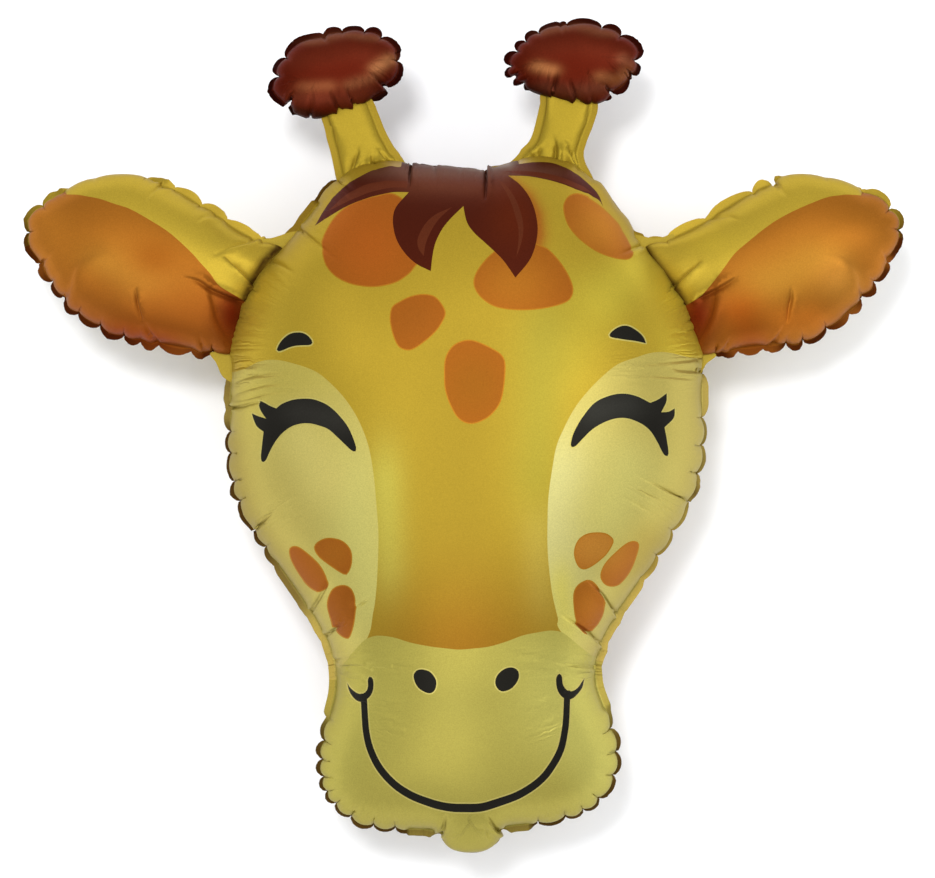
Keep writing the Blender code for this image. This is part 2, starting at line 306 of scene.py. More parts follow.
def rightward(line: Array) -> Array:
    """Unit normals on the right side of an open line.

    Args:
        line: Points of the line.

    Returns:
        The normal at each point.
    """
    along = np.gradient(line, axis=0)
    along /= np.linalg.norm(along, axis=1)[:, None]
    return np.stack([along[:, 1], -along[:, 0]], axis=1)


def smoothed(values: Array, reach: int) -> Array:
    """Values round a loop, each averaged with its neighbours up to a reach."""
    total = sum(np.roll(values, shift, 0) for shift in range(-reach, reach + 1))
    return total / (2 * reach + 1)


def inside(points: Array, loop: Array) -> Array:
    """Tells which points lie inside a closed loop.

    Args:
        points: Points of the plane, one per row.
        loop: Points of the loop.

    Returns:
        True or false for each point.
    """
    found = np.zeros(len(points), bool)
    near = np.all((points > loop.min(0)) & (points < loop.max(0)), axis=1)
    rows = np.flatnonzero(near)
    ahead = np.roll(loop, -1, 0)
    rise = np.where(ahead[:, 1] == loop[:, 1], 1.0, ahead[:, 1] - loop[:, 1])
    slope = (ahead[:, 0] - loop[:, 0]) / rise
    for part in np.array_split(rows, max(1, len(rows) * len(loop) // 4_000_000)):
        x, y = points[part, 0][:, None], points[part, 1][:, None]
        spans = (loop[:, 1] > y) != (ahead[:, 1] > y)
        crossing = loop[:, 0] + (y - loop[:, 1]) * slope
        found[part] = (spans & (x < crossing)).sum(axis=1) % 2 == 1
    return found


def nearest(points: Array, line: Array) -> tuple[Array, Array]:
    """Finds the point of a line that is nearest to each point.

    Args:
        points: Points of the plane, one per row.
        line: Points of the line.

    Returns:
        How far it is, and its index, for each point.
    """
    tree = KDTree(len(line))
    for index, (x, y) in enumerate(line):
        tree.insert((x, y, 0.0), index)
    tree.balance()
    found = [tree.find((x, y, 0.0)) for x, y in points]
    return np.array([f[2] for f in found]), np.array([f[1] for f in found])


def grid_points(low: Array, high: Array, step: float) -> Array:
    """Points of a triangular grid over a box.

    Args:
        low: The box's lowest corner.
        high: Its highest corner.
        step: Distance between two points.

    Returns:
        The points, one per row.
    """
    rows = []
    row_step = step * math.sqrt(0.75)
    for row in range(int((high[1] - low[1]) / row_step) + 2):
        start = low[0] + (row % 2) * 0.5 * step
        xs = np.arange(start, high[0] + step, step)
        rows.append(np.stack([xs, np.full(len(xs), low[1] + row * row_step)], axis=1))
    return np.vstack(rows)


def gathered_to(index: Array, values: Array, count: int) -> Array:
    """Vectors summed up at the points that they belong to."""
    return np.stack([np.bincount(index, values[:, k], count) for k in range(3)], axis=1)


@dataclass(frozen=True)
class Artwork:
    """One shape of the print.

    Attributes:
        ink: Its ink.
        points: Its outline, in picture points.
        corners: Indexes of the outline's sharp corners; it is smooth between them.
        width: Line width at the start and in the middle, for a shape drawn as a line.
        margin: How far the shape is grown outwards, in picture points.
    """

    ink: Ink
    points: Points
    corners: tuple[int, ...] = ()
    width: tuple[float, float] = (0.0, 0.0)
    margin: float = 0.0

    def outline(self) -> Array:
        """The closed outline, counterclockwise on the balloon, with its corners kept.

        Returns:
            Its picture points.
        """
        points = np.array(self.points, float)
        if self.width[0]:
            loop = self._drawn(spline(points, closed=False))
        elif self.corners:
            spans = []
            for start, end in zip(self.corners, self.corners[1:] + (self.corners[0] + len(points),)):
                rows = np.arange(start, end + 1) % len(points)
                spans.append(even_line(spline(points[rows], closed=False), PRINT_STEP, False)[:-1])
            loop = np.vstack(spans)
        else:
            loop = even_line(spline(points, closed=True), PRINT_STEP, True)
        loop = loop if area_of(loop) < 0 else loop[::-1]
        return loop - self.margin * outward(loop) if self.margin else loop

    def _drawn(self, line: Array) -> Array:
        """Draws a line with the shape's width.

        Args:
            line: Points of the line.

        Returns:
            The loop round both of its sides.
        """
        ends, middle = self.width
        share = runs_of(line) / runs_of(line)[-1]
        half = 0.5 * np.interp(share, (0.0, 0.5, 1.0), (ends, middle, ends))
        aside = rightward(line) * half[:, None]
        sides = (line + aside, (line - aside)[::-1])
        return np.vstack([even_line(side, PRINT_STEP, False) for side in sides])


@dataclass(frozen=True)
class Fold:
    """A fold in the plan of the frame, with the attributes of a crease, in metres."""

    line: Array
    depth: Array
    width: float
    skew: float
    valley: float = 1.0

    def flanks(self) -> Array:
        """Points beside the fold, where the mesh has to be fine."""
        aside = rightward(self.line) * self.width
        return np.vstack([self.line + side * aside for side in FLANKS])

    def sink(self, places: Array) -> Array:
        """Finds how deep the fold presses the foil down.

        Args:
            places: Plan places, one per row.

        Returns:
            The depth at each place.
        """
        sunk = np.zeros(len(places))
        reach = FOLD_REACH * self.width
        box = (places > self.line.min(0) - reach) & (places < self.line.max(0) + reach)
        near = np.flatnonzero(box.all(axis=1))
        along = runs_of(self.line) / runs_of(self.line)[-1]
        gap, share, side = np.full(len(near), np.inf), np.zeros(len(near)), np.zeros(len(near))
        for k in range(len(self.line) - 1):
            way = self.line[k + 1] - self.line[k]
            off = places[near] - self.line[k]
            t = np.clip((off @ way) / (way @ way), 0.0, 1.0)
            apart = np.linalg.norm(off - t[:, None] * way, axis=1)
            closer = apart < gap
            gap = np.where(closer, apart, gap)
            share = np.where(closer, along[k] + t * (along[k + 1] - along[k]), share)
            side = np.where(closer, np.sign(way[0] * off[:, 1] - way[1] * off[:, 0]), side)
        spread = gap / self.width
        height, place, width = SHOULDER
        rise, fade = STEP_WIDTHS
        valley = np.exp(-spread / VALLEY_WIDTH) - height * np.exp(-(((spread - place) / width) ** 2))
        step = side * (1.0 - np.exp(-spread / rise)) * np.exp(-((spread / fade) ** 2))
        depth = np.interp(share, (0.0, 0.45, 1.0), self.depth)
        sunk[near] = depth * (self.valley * valley - self.skew * step)
        return sunk


@dataclass(frozen=True)
class Crease:
    """A sharp fold of the foil, as the picture shows it.

    Attributes:
        line: Its picture points; a crease that comes from a notch of the seam starts there.
        depth: Its depth at the start, in the middle and at the end, as shares.
        notch: Whether it starts at a notch of the seam.
        width: Half of its width, in millimetres.
        skew: How far the foil steps up on its left side, as a share of its depth.
        valley: How deep its valley is, as a share.
    """

    line: Points
    depth: tuple[float, float, float] = (1.2, 0.7, 0.0)
    notch: bool = True
    width: float = 1.5
    skew: float = 0.35
    valley: float = 1.0

    def fold(self, solid: BVHTree) -> Fold:
        """The crease in the plan of the frame.

        Args:
            solid: The CAD solid, which the crease is laid on.

        Returns:
            The fold.
        """
        course = spline(np.array(self.line, float), closed=False)
        plan = PICTURE.on_foil(even_line(course, PRINT_STEP, closed=False), solid)
        return Fold(plan, np.array(self.depth) * CREASE_DEPTH, self.width * MM, self.skew, self.valley)


@dataclass(frozen=True)
class Tuck:
    """A part of the picture where the seal is turned out of sight behind the chamber.

    Attributes:
        low: Its left and upper limits, in picture points.
        high: Its right and lower limits.
        push: How far the chamber's seam moves out there.
        flat: How much of the seam's spare length is gone there, as a share.
    """

    low: tuple[float, float]
    high: tuple[float, float]
    push: float = 0.0
    flat: float = 0.8

    def share(self, plan: Array) -> Array:
        """Finds how far places of the seam are inside.

        Args:
            plan: Plan places, one per row.

        Returns:
            A share from 0 to 1 for each place.
        """
        seen = PICTURE.seen(np.column_stack([plan, np.full(len(plan), SEAM_HEIGHT)]))
        deep = np.minimum(seen - np.array(self.low), np.array(self.high) - seen).min(axis=1)
        level = np.clip(deep / TUCK_EASE, 0.0, 1.0)
        return level * level * (3 - 2 * level)


@dataclass(frozen=True)
class Patch:
    """A soft patch round a line of the picture.

    Attributes:
        level: Its strength at the line.
        line: Picture points of the line, or one point.
        reach: How far the patch spreads across and up the picture, in picture points.
    """

    level: float
    line: Points
    reach: tuple[float, float]

    def strength(self, seen: Array) -> Array:
        """How strong the patch is at picture points."""
        return self.level * faded(seen, self.line, self.reach)


@dataclass(frozen=True)
class Shade:
    """A soft change of an ink's colour round a line; some are print gradients, others painted light and
    shade.

    Attributes:
        colour: The colour at the line.
        line: Picture points of the line, or one point.
        reach: How far the shade spreads across and up the picture, in picture points.
    """

    colour: Colour
    line: Points
    reach: tuple[float, float]


def faded(seen: Array, line: Points, reach: tuple[float, float]) -> Array:
    """A soft patch round a line of the picture.

    Args:
        seen: Picture points, one per row.
        line: Points of the line, or one point.
        reach: How far the patch spreads across and up the picture.

    Returns:
        Its strength at each point, from 0 to 1.
    """
    scale = np.array(reach)
    spots = np.array(line, float) / scale
    at = seen / scale
    if len(spots) == 1:
        return np.exp(-((at - spots[0]) ** 2).sum(axis=1))
    best = np.full(len(at), np.inf)
    for start, end in zip(spots[:-1], spots[1:]):
        way = end - start
        t = np.clip(((at - start) @ way) / (way @ way), 0.0, 1.0)
        best = np.minimum(best, ((at - start - t[:, None] * way) ** 2).sum(axis=1))
    return np.exp(-best)


def shaded(ink: Ink, seen: Array) -> Array:
    """The colours of an ink with its soft shades: print gradients, and painted light and shade.

    Args:
        ink: The ink.
        seen: Picture points, one per row.

    Returns:
        The colour at each point.
    """
    tone = np.tile(np.array(ink.value), (len(seen), 1))
    for shade in INK_SHADES_AND_PAINTED_LIGHT.get(ink, ()):
        share = faded(seen, shade.line, shade.reach)[:, None]
        tone = tone * (1 - share) + np.array(shade.colour) * share
    return tone


def membrane(flat: Array, triangles: Array) -> Array:
    """Finds the form of a membrane that is held along its rim, under an even load of 4.

    Args:
        flat: Its points in the plan.
        triangles: Indexes of every triangle's corners.

    Returns:
        Its height at each point.
    """
    count = len(flat)
    corner = flat[triangles]
    starts, ends, weights = [], [], []
    load = np.zeros(count)
    for k in range(3):
        tip, a, b = corner[:, k], corner[:, (k + 1) % 3], corner[:, (k + 2) % 3]
        u, v = a - tip, b - tip
        doubled = np.abs(u[:, 0] * v[:, 1] - u[:, 1] * v[:, 0])
        starts.append(triangles[:, (k + 1) % 3])
        ends.append(triangles[:, (k + 2) % 3])
        weights.append(0.5 * (u * v).sum(axis=1) / np.maximum(doubled, 1e-12))
        load += np.bincount(triangles[:, k], 4.0 * doubled / 6.0, count)
    starts, ends, weights = map(np.concatenate, (starts, ends, weights))
    sides = np.sort(np.stack([starts, ends], axis=1), axis=1)
    _, which, uses = np.unique(sides, axis=0, return_index=True, return_counts=True)
    held = np.ones(count, bool)
    held[triangles] = False
    held[sides[which[uses == 1]]] = True
    diagonal = np.bincount(starts, weights, count) + np.bincount(ends, weights, count)
    diagonal[held] = 1.0

    def pull(height: Array) -> Array:
        """The membrane's own pull.

        Args:
            height: Height of each point.

        Returns:
            The pull on each point, 0 on the held ones.
        """
        flow = weights * (height[starts] - height[ends])
        total = np.bincount(starts, flow, count) - np.bincount(ends, flow, count)
        total[held] = 0.0
        return total

    # Conjugate gradients, until what is left of the load is too small to see
    height = np.zeros(count)
    rest = np.where(held, 0.0, load)
    step = rest / diagonal
    energy = float(rest @ step)
    goal = energy * 1e-10
    for _ in range(1500):
        if energy <= goal:
            break
        drawn = pull(step)
        length = energy / float(step @ drawn)
        height += length * step
        rest -= length * drawn
        scaled = rest / diagonal
        fresh = float(rest @ scaled)
        step = scaled + (fresh / energy) * step
        energy = fresh
    return np.maximum(height, 0.0)


def disc_excess(share: Array) -> Array:
    """Spare length round a blown foil disc.

    Args:
        share: Distance from the disc's seam, in its radii.

    Returns:
        The spare length there, as a share.
    """
    radius = np.linspace(0.0, 1.0, 400)[:-1]
    along = np.concatenate([[0.0], np.cumsum((radius[1] - radius[0]) / np.sqrt(1.0 - radius**4))])[1:]
    excess = along / np.maximum(radius + radius[1], 1e-9) - 1.0
    return np.interp(1.0 - share, radius, np.maximum(excess - excess[0], 0.0))


def cut_up(bm: bmesh.types.BMesh) -> None:
    """Cuts the faces that aren't triangles into triangles."""
    bmesh.ops.triangulate(bm, faces=[face for face in bm.faces if len(face.verts) > 3])


def add_back(bm: bmesh.types.BMesh, level: float) -> list[bmesh.types.BMFace]:
    """Adds the back foil as the front foil's mirror image.

    Args:
        bm: The front foil.
        level: Height of the mirror.

    Returns:
        The back's faces.
    """
    twin = bmesh.ops.duplicate(bm, geom=bm.verts[:] + bm.edges[:] + bm.faces[:])["geom"]
    for item in twin:
        if isinstance(item, bmesh.types.BMVert):
            item.co.z = 2 * level - item.co.z
    faces = [item for item in twin if isinstance(item, bmesh.types.BMFace)]
    bmesh.ops.reverse_faces(bm, faces=faces)
    return faces


def corners_of(mesh: bpy.types.Mesh) -> Array:
    """Reads a mesh of triangles.

    Args:
        mesh: The mesh.

    Returns:
        Indexes of every triangle's corners.
    """
    corners = np.zeros(len(mesh.loops), int)
    mesh.loops.foreach_get("vertex_index", corners)
    return corners.reshape(-1, 3)


def store_print(mesh: bpy.types.Mesh, colour: Array) -> None:
    """Stores the print's colour at the corners of a mesh's triangles."""
    layer = mesh.color_attributes.new("print", "FLOAT_COLOR", "CORNER")
    layer.data.foreach_set("color", colour.reshape(-1).astype(np.float32))


def as_piece(mesh: bpy.types.Mesh, finish: bpy.types.Material) -> bpy.types.Object:
    """Makes a finished mesh a piece of the balloon.

    Args:
        mesh: The mesh, which bears the piece's name.
        finish: The foil's material.

    Returns:
        The piece.
    """
    mesh.materials.append(finish)
    piece = bpy.data.objects.new(mesh.name, mesh)
    bpy.context.scene.collection.objects.link(piece)
    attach(piece, "root")
    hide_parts(FOIL_NODE)
    log.info("%s: %d triangles", mesh.name, len(mesh.polygons))
    return piece


@dataclass(frozen=True)
class Seam:
    """A traced seam.

    Attributes:
        points: Its points in the plan.
        facing: The way out at each of them.
        run: The seam's length up to each of them.
    """

    points: Array
    facing: Array
    run: Array


@dataclass
class Chamber:
    """One blown chamber of the balloon, from its seam to its finished mesh.

    Attributes:
        name: Name of the piece.
        seam: Its seam.
        ground: Ink where nothing else is printed.
        pitch: Seam length between two notches of the gathers.
        seed: Seed of the gathers' differences.
        artwork: Shapes printed on the front, the lowest first.
        creases: Sharp folds in the foil.
        puckers: Patches of fine puckers that run in from the seam.
        seal_reflection_patches: Patches where the seal's painted shade gives way to a painted reflection.
        seal_reflection_tint: The seal's painted reflection colour there, as shares of the foil's.
        tucks: Parts of the picture where the seal is turned out of sight.
        pinches: Picture points of the seam's other notches.
        scallop: How far the seal is pinched at its notches where the seam isn't gathered.
        upper_seal_shade: How much painted shade the seal keeps on edges that face up, towards the light.
        seam_step: Seam length between two columns of the mesh.
        fill_step: Mesh spacing away from the seam.
        rim: Plan width of the steep band beside the seam.
        seal: Width of the flat welded edge.
        seal_half: Half of its thickness.
        gain: How deep the gathers are, as a share.
        lobed: How far the seam is gathered into lobes.
        calm_top: How much shallower the gathers are on edges that face up the picture.
        puff: Height of the foil over the root of its load.
        grow: How far the chamber's seam lies outside its outline.
        rounds: Rounds that the foil relaxes for.
    """

    name: str
    seam: Points
    ground: Ink
    pitch: float
    seed: int
    artwork: tuple[Artwork, ...] = ()
    creases: tuple[Crease, ...] = ()
    puckers: tuple[Patch, ...] = ()
    seal_reflection_patches: tuple[Patch, ...] = ()
    seal_reflection_tint: Colour = (1.0, 1.0, 1.0)
    tucks: tuple[Tuck, ...] = ()
    pinches: Points = ()
    scallop: float = 0.0
    upper_seal_shade: float = 0.9
    seam_step: float = 2.4 * MM
    fill_step: float = 3.2 * MM
    rim: float = 5.0 * MM
    seal: float = 7.8 * MM
    seal_half: float = 0.25 * MM
    gain: float = 1.0
    lobed: float = 1.0
    calm_top: float = 0.0
    puff: float = FULLNESS
    grow: float = 1.2 * MM
    rounds: int = 300

    def make(self, solid: BVHTree, finish: bpy.types.Material) -> bpy.types.Object:
        """Builds the chamber and dresses it.

        Args:
            solid: The CAD solid, which the print is laid on.
            finish: The foil's material.

        Returns:
            The finished piece.
        """
        self.lay_out(solid)
        self.blow_up()
        self.sew()
        self.measure_gathers()
        self.relax()
        self.add_seal()
        self.close()
        self.settle()
        mesh = bpy.data.meshes.new(self.name)
        self.bm.to_mesh(mesh)
        self.paint(mesh)
        self.bm.free()
        mesh.shade_smooth()
        return as_piece(mesh, finish)

    def lay_out(self, solid: BVHTree) -> None:
        """Lays the foil out flat inside the steep band and cuts it along its print and folds.

        Args:
            solid: The CAD solid, which the print and the folds are laid on.
        """
        seam = self._traced()
        fill = grid_points(seam.points.min(0), seam.points.max(0), self.fill_step)
        fill = fill[inside(fill, seam.points)]
        deep, _ = nearest(fill, seam.points)
        self.half_width = HALF_WIDTH_SHARE * float(deep.max())
        self.folds = [crease.fold(solid) for crease in self.creases]
        self._notch(seam)
        rows = self._column_rows(seam)
        seam = Seam(seam.points[rows], seam.facing[rows], seam.run[rows])
        band = seam.points - self.rim * seam.facing
        self.loops = [PICTURE.on_foil(art.outline(), solid) for art in self.artwork]
        lines = np.vstack([band] + self.loops + [fold.line for fold in self.folds])
        self._cut(len(band), lines, self._filled(fill, band, lines))
        self._find_columns(band, seam)

    def _traced(self) -> Seam:
        """Traces the chamber's seam.

        Returns:
            The seam, close point by close point.
        """
        curve = spline(placed(self.seam), closed=True)
        seam = even_line(curve, OUTLINE_STEP, closed=True)
        seam = seam + self.grow * outward(seam)
        for tuck in self.tucks:
            seam = seam + tuck.push * tuck.share(seam)[:, None] * outward(seam)
        seam = even_line(smoothed(seam, 4), OUTLINE_STEP, closed=True)
        facing = smoothed(outward(seam), 12)
        facing /= np.linalg.norm(facing, axis=1)[:, None]
        run = runs_of(seam)
        self.seam_length = float(run[-1] + np.linalg.norm(seam[-1] - seam[0]))
        return Seam(seam, facing, run)

    def _notch(self, seam: Seam) -> None:
        """Finds where the seam is notched, and the folds that the notches send out.

        Args:
            seam: The traced seam.
        """
        spare = self._spare_length(seam)
        self.spare_runs, self.spare = seam.run, spare
        chance = random.Random(self.seed)
        notched = [fold.line[0] for crease, fold in zip(self.creases, self.folds) if crease.notch]
        if self.pinches:
            notched += list(PICTURE.on_seam_plane(np.array(self.pinches, float)))
        rows = nearest(np.array(notched), seam.points)[1] if notched else [0]
        fixed = sorted(float(seam.run[row]) for row in rows)
        fixed = [here for k, here in enumerate(fixed) if k == 0 or here - fixed[k - 1] > NOTCH_GAP]
        notches = []
        for here, there in zip(fixed, fixed[1:] + [fixed[0] + self.seam_length]):
            parts = max(1, round((there - here) / self.pitch)) if self.lobed else 1
            for share in [k + PITCH_SPREAD * chance.uniform(-1, 1) for k in range(1, parts)]:
                notch = (here + (there - here) * share / parts) % self.seam_length
                notches.append(notch)
                row = min(int(np.searchsorted(seam.run, notch)), len(seam.run) - 1)
                place, inward = seam.points[row], -seam.facing[row]
                fullness = float(np.clip(spare[row] / FULL_SPARE, 0.0, 1.0))
                strength = self.lobed * fullness * chance.uniform(0.4, 1.2)
                strength *= 1.0 - self.calm_top * max(0.0, -float(inward[1]))
                if strength > LEAST_STRENGTH:
                    self.folds.append(self._fold_from(place, inward, strength, chance))
            notches.append(here)
        notches = np.array(sorted(notches))
        lobes = range(len(notches))
        self.notches = np.append(notches, notches[0] + self.seam_length)
        self.notch_depths = np.array([chance.uniform(0.6, 1.2) for _ in lobes])
        reaches = [chance.choice(CREASE_REACHES) * chance.uniform(0.8, 1.2) for _ in lobes]
        self.notch_reaches = np.array(reaches)
        self.tilts = np.array([chance.uniform(0.2, 1.0) for _ in lobes])

    def _spare_length(self, seam: Seam) -> Array:
        """Finds the seam's spare length, which comes from how it bends outward.

        Args:
            seam: The traced seam.

        Returns:
            The spare length at each point, as a share.
        """
        run = seam.run
        angle = np.unwrap(np.arctan2(seam.facing[:, 1], seam.facing[:, 0]))
        laps = np.concatenate([angle - 2 * math.pi, angle, angle + 2 * math.pi])
        runs = np.concatenate([run - self.seam_length, run, run + self.seam_length])
        turned = np.interp(run + BEND_WINDOW, runs, laps) - np.interp(run - BEND_WINDOW, runs, laps)
        spare = np.clip(FULL_EXCESS * self.half_width * turned / (2 * BEND_WINDOW), 0.0, MOST_EXCESS)
        for tuck in self.tucks:
            spare *= 1.0 - tuck.flat * tuck.share(seam.points)
        return spare * min(1.0, 2.0 * self.lobed)

    def _fold_from(
        self, notch: Array, inward: Array, strength: float, chance: random.Random
    ) -> Fold:
        """A fold that a notch sends out over the foil.

        Args:
            notch: Place of the notch.
            inward: The way in from the seam.
            strength: Strength of the notch.
            chance: What the fold's own differences are drawn from.

        Returns:
            The fold.
        """
        reach = chance.choice(FOLD_LENGTHS) * (0.6 + 0.4 * strength)
        turn = math.radians(chance.uniform(-16, 16))
        aside = np.array([-inward[1], inward[0]])
        steps = np.linspace(0.0, 1.0, max(4, round(reach / (2 * MM))))[:, None]
        bent = inward * math.cos(turn) + aside * math.sin(turn)
        line = notch + steps * reach * bent + steps**2 * 0.12 * reach * aside
        depth = strength * self.gain * np.array(FOLD_DEPTH) * MM
        return Fold(line, depth, chance.uniform(1.1, 1.7) * MM, chance.uniform(-0.5, 0.5))

    def _column_rows(self, seam: Seam) -> Array:
        """Chooses where the mesh has a column at the seam: closely at the notches, else evenly.

        Args:
            seam: The traced seam.

        Returns:
            Indexes of the points that get a column.
        """
        offsets = np.concatenate([[0.0], *((-off, off) for off in NOTCH_COLUMNS)])
        fine = (self.notches[:-1, None] + offsets).reshape(-1) % self.seam_length
        even = np.arange(0.0, self.seam_length, self.seam_step)
        half = 0.5 * self.seam_length
        far = np.abs((even[:, None] - fine + half) % self.seam_length - half)
        runs = np.sort(np.concatenate([fine, even[far.min(axis=1) > 0.8 * MM]]))
        runs = runs[np.append(True, np.diff(runs) > 0.3 * MM)]
        rows = np.clip(np.searchsorted(seam.run, runs), 0, len(seam.run) - 1)
        gap, _ = nearest(seam.points[rows] - self.rim * seam.facing[rows], seam.points)
        return rows[gap > 0.93 * self.rim]

    def _filled(self, fill: Array, band: Array, lines: Array) -> Array:
        """Chooses the mesh's points between its lines, which are close together beside folds.

        Args:
            fill: Points of an even grid.
            band: Inner edge of the steep band.
            lines: Points of every line that the foil is cut along.

        Returns:
            The chosen points.
        """
        fill = fill[inside(fill, band)]
        gap, _ = nearest(fill, lines)
        fill = fill[gap > 0.55 * self.fill_step]
        flank = np.vstack([fold.flanks() for fold in self.folds])
        flank = flank[inside(flank, band)]
        gap, _ = nearest(flank, lines)
        flank = flank[gap > 0.5 * MM]
        gap, _ = nearest(fill, flank)
        return np.vstack([flank, fill[gap > 0.5 * self.fill_step]])

    def _cut(self, edge: int, lines: Array, fill: Array) -> None:
        """Cuts the flat foil into triangles that keep to its edge, its print and its folds.

        Args:
            edge: How many of the lines' points are the foil's edge.
            lines: Points of its edge, the print's outlines and the folds, in this order.
            fill: Points between them.
        """
        sides, start = [], edge
        for loop in self.loops:
            count = len(loop)
            sides += [(start + k, start + (k + 1) % count) for k in range(count)]
            start += count
        for fold in self.folds:
            sides += [(start + k, start + k + 1) for k in range(len(fold.line) - 1)]
            start += len(fold.line)
        points = [Vector(p) for p in np.vstack([lines, fill])]
        cut = delaunay_2d_cdt(points, sides, [list(range(edge))], 0, 1e-6, True)
        triangles = np.array([face for face, origin in zip(cut[2], cut[5]) if origin])
        used = np.unique(triangles)
        number = np.full(len(cut[0]), -1)
        number[used] = np.arange(len(used))
        self.flat = np.array([p[:] for p in cut[0]], float)[used]
        self.triangles = number[triangles]
        self.inks = self._print_at(self.flat[self.triangles].mean(axis=1))

    def _print_at(self, places: Array) -> Array:
        """Finds the print at plan places.

        Args:
            places: Plan places, one per row.

        Returns:
            The number of the topmost shape at each place, from 1, or 0 for the ground.
        """
        numbers = np.zeros(len(places), int)
        for order, loop in enumerate(self.loops):
            numbers[inside(places, loop)] = order + 1
        return numbers

    def _find_columns(self, band: Array, seam: Seam) -> None:
        """Finds the seam's place outside each point of the laid out foil's edge.

        Args:
            band: Inner edge of the steep band.
            seam: The seam's points outside it.
        """
        sides = set()
        for a, b, c in self.triangles:
            sides.update(((a, b), (b, c), (c, a)))
        ahead = {a: b for a, b in sides if (b, a) not in sides}
        first = min(ahead, key=lambda index: float(np.linalg.norm(self.flat[index] - band[0])))
        loop, at = [first], ahead[first]
        while at != first:
            loop.append(at)
            at = ahead[at]
        self.edge = np.array(loop)
        along = runs_of(np.vstack([band, band[:1]]))
        share = runs_of(self.flat[self.edge])
        whole = np.column_stack([seam.points, seam.facing, seam.run])
        whole = np.vstack([whole, whole[:1]])
        whole[-1, 4] = self.seam_length + seam.run[0]
        columns = np.stack([np.interp(share, along, whole[:, k]) for k in range(5)], axis=1)
        self.columns, self.facing, self.run = columns[:, :2], columns[:, 2:4], columns[:, 4]
        self.facing /= np.linalg.norm(self.facing, axis=1)[:, None]

    def blow_up(self) -> None:
        """Finds how high the foil stands when it is blown up."""
        count, columns = len(self.flat), len(self.edge)
        ring = count + np.arange(columns)
        near, far = self.edge, np.roll(self.edge, -1)
        strip = np.vstack(
            [
                np.stack([near, ring, np.roll(ring, -1)], axis=1),
                np.stack([near, np.roll(ring, -1), far], axis=1),
            ]
        )
        load = membrane(np.vstack([self.flat, self.columns]), np.vstack([self.triangles, strip]))
        self.load = load[:count]
        slope = (self.load[self.edge] + self.rim**2) / self.rim
        rise = self.puff * math.sqrt(float(np.median(self.load[self.edge])))
        self.steps = max(4, round(rise / RING_STEP))
        self.ring_gaps = self.rim * (1.0 - np.arange(self.steps + 1) / self.steps) ** 2
        self.ring_loads = slope * self.ring_gaps[:, None] - self.ring_gaps[:, None] ** 2

    def sew(self) -> None:
        """Makes the front foil as a mesh, from its middle out to the seam."""
        bm = bmesh.new()
        column = bm.verts.layers.int.new("column")
        bm.verts.layers.int.new("ring")
        ink = bm.faces.layers.int.new("ink")
        heights = self.puff * np.sqrt(self.load)
        verts = [bm.verts.new((x, y, z)) for (x, y), z in zip(self.flat, heights)]
        for number, index in enumerate(self.edge):
            verts[index][column] = number + 1
        for triangle, order in zip(self.triangles, self.inks):
            face = bm.faces.new([verts[index] for index in triangle])
            face[ink] = int(order)
        rim = [edge for edge in bm.edges if edge.is_boundary]
        for step in range(1, self.steps + 1):
            plan = self.columns - self.ring_gaps[step] * self.facing
            height = self.puff * np.sqrt(np.maximum(self.ring_loads[step], 0.0))
            rim = self._extruded(bm, rim, plan, height, step)
        self.bm = bm

    def _extruded(
        self,
        bm: bmesh.types.BMesh,
        rim: Edges,
        plan: Array,
        height: Array,
        step: int,
        inks: Array | None = None,
    ) -> Edges:
        """Adds a ring of foil outside the mesh's rim.

        Args:
            bm: The mesh.
            rim: Edges of its rim.
            plan: Plan place of every column of the new rim.
            height: Height of every column of the new rim.
            step: Number of the new ring.
            inks: Print of every column, where it isn't that of the face inside it.

        Returns:
            Edges of the new rim.
        """
        column, ring = bm.verts.layers.int["column"], bm.verts.layers.int["ring"]
        ink = bm.faces.layers.int["ink"]
        beside = {
            tuple(sorted(vert[column] for vert in edge.verts)): edge.link_faces[0][ink] for edge in rim
        }
        made = bmesh.ops.extrude_edge_only(bm, edges=rim)["geom"]
        fresh = {item for item in made if isinstance(item, bmesh.types.BMVert)}
        for vert in fresh:
            number = vert[column] - 1
            vert.co = (*plan[number], height[number])
            vert[ring] = step
        strip = [item for item in made if isinstance(item, bmesh.types.BMFace)]
        for face in strip:
            numbers = tuple(sorted({vert[column] for vert in face.verts}))
            face[ink] = beside[numbers] if inks is None else int(inks[numbers[0] - 1])
        edges = [item for item in made if isinstance(item, bmesh.types.BMEdge)]
        return [edge for edge in edges if edge.verts[0] in fresh and edge.verts[1] in fresh]

    def measure_gathers(self) -> None:
        """Finds how far the foil is gathered at each column of its edge."""
        self.excess = np.interp(self.run % self.seam_length, self.spare_runs, self.spare)
        run = np.where(self.run < self.notches[0], self.run + self.seam_length, self.run)
        run = np.where(run >= self.notches[-1], run - self.seam_length, run)
        lobes = len(self.notches) - 1
        lobe = np.clip(np.searchsorted(self.notches, run, side="right") - 1, 0, lobes - 1)
        length = self.notches[lobe + 1] - self.notches[lobe]
        phase = np.clip((run - self.notches[lobe]) / length, 0.0, 1.0)
        closer = np.where(phase < 0.5, lobe, (lobe + 1) % lobes)
        gap = np.minimum(run - self.notches[lobe], self.notches[lobe + 1] - run)
        self.swing = self.gain * SWING_PITCH / math.pi * np.sqrt(self.excess)
        self.fullness = self.lobed * np.clip(self.excess / FULL_SPARE, 0.0, 1.0)
        calm = 1.0 - self.calm_top * np.clip(self.facing[:, 1], 0.0, 1.0)
        valley = np.exp(-((gap / (NOTCH_WIDTH * SWING_PITCH)) ** 1.3))
        self.valley = valley * self.notch_depths[closer] * calm
        self.crown = np.sin(math.pi * phase) ** CROWN_SHAPE
        self.size = np.clip(length / FULL_LOBE, 0.4, 1.0)
        self.reach, self.tilt = self.notch_reaches[closer], self.tilts[lobe]

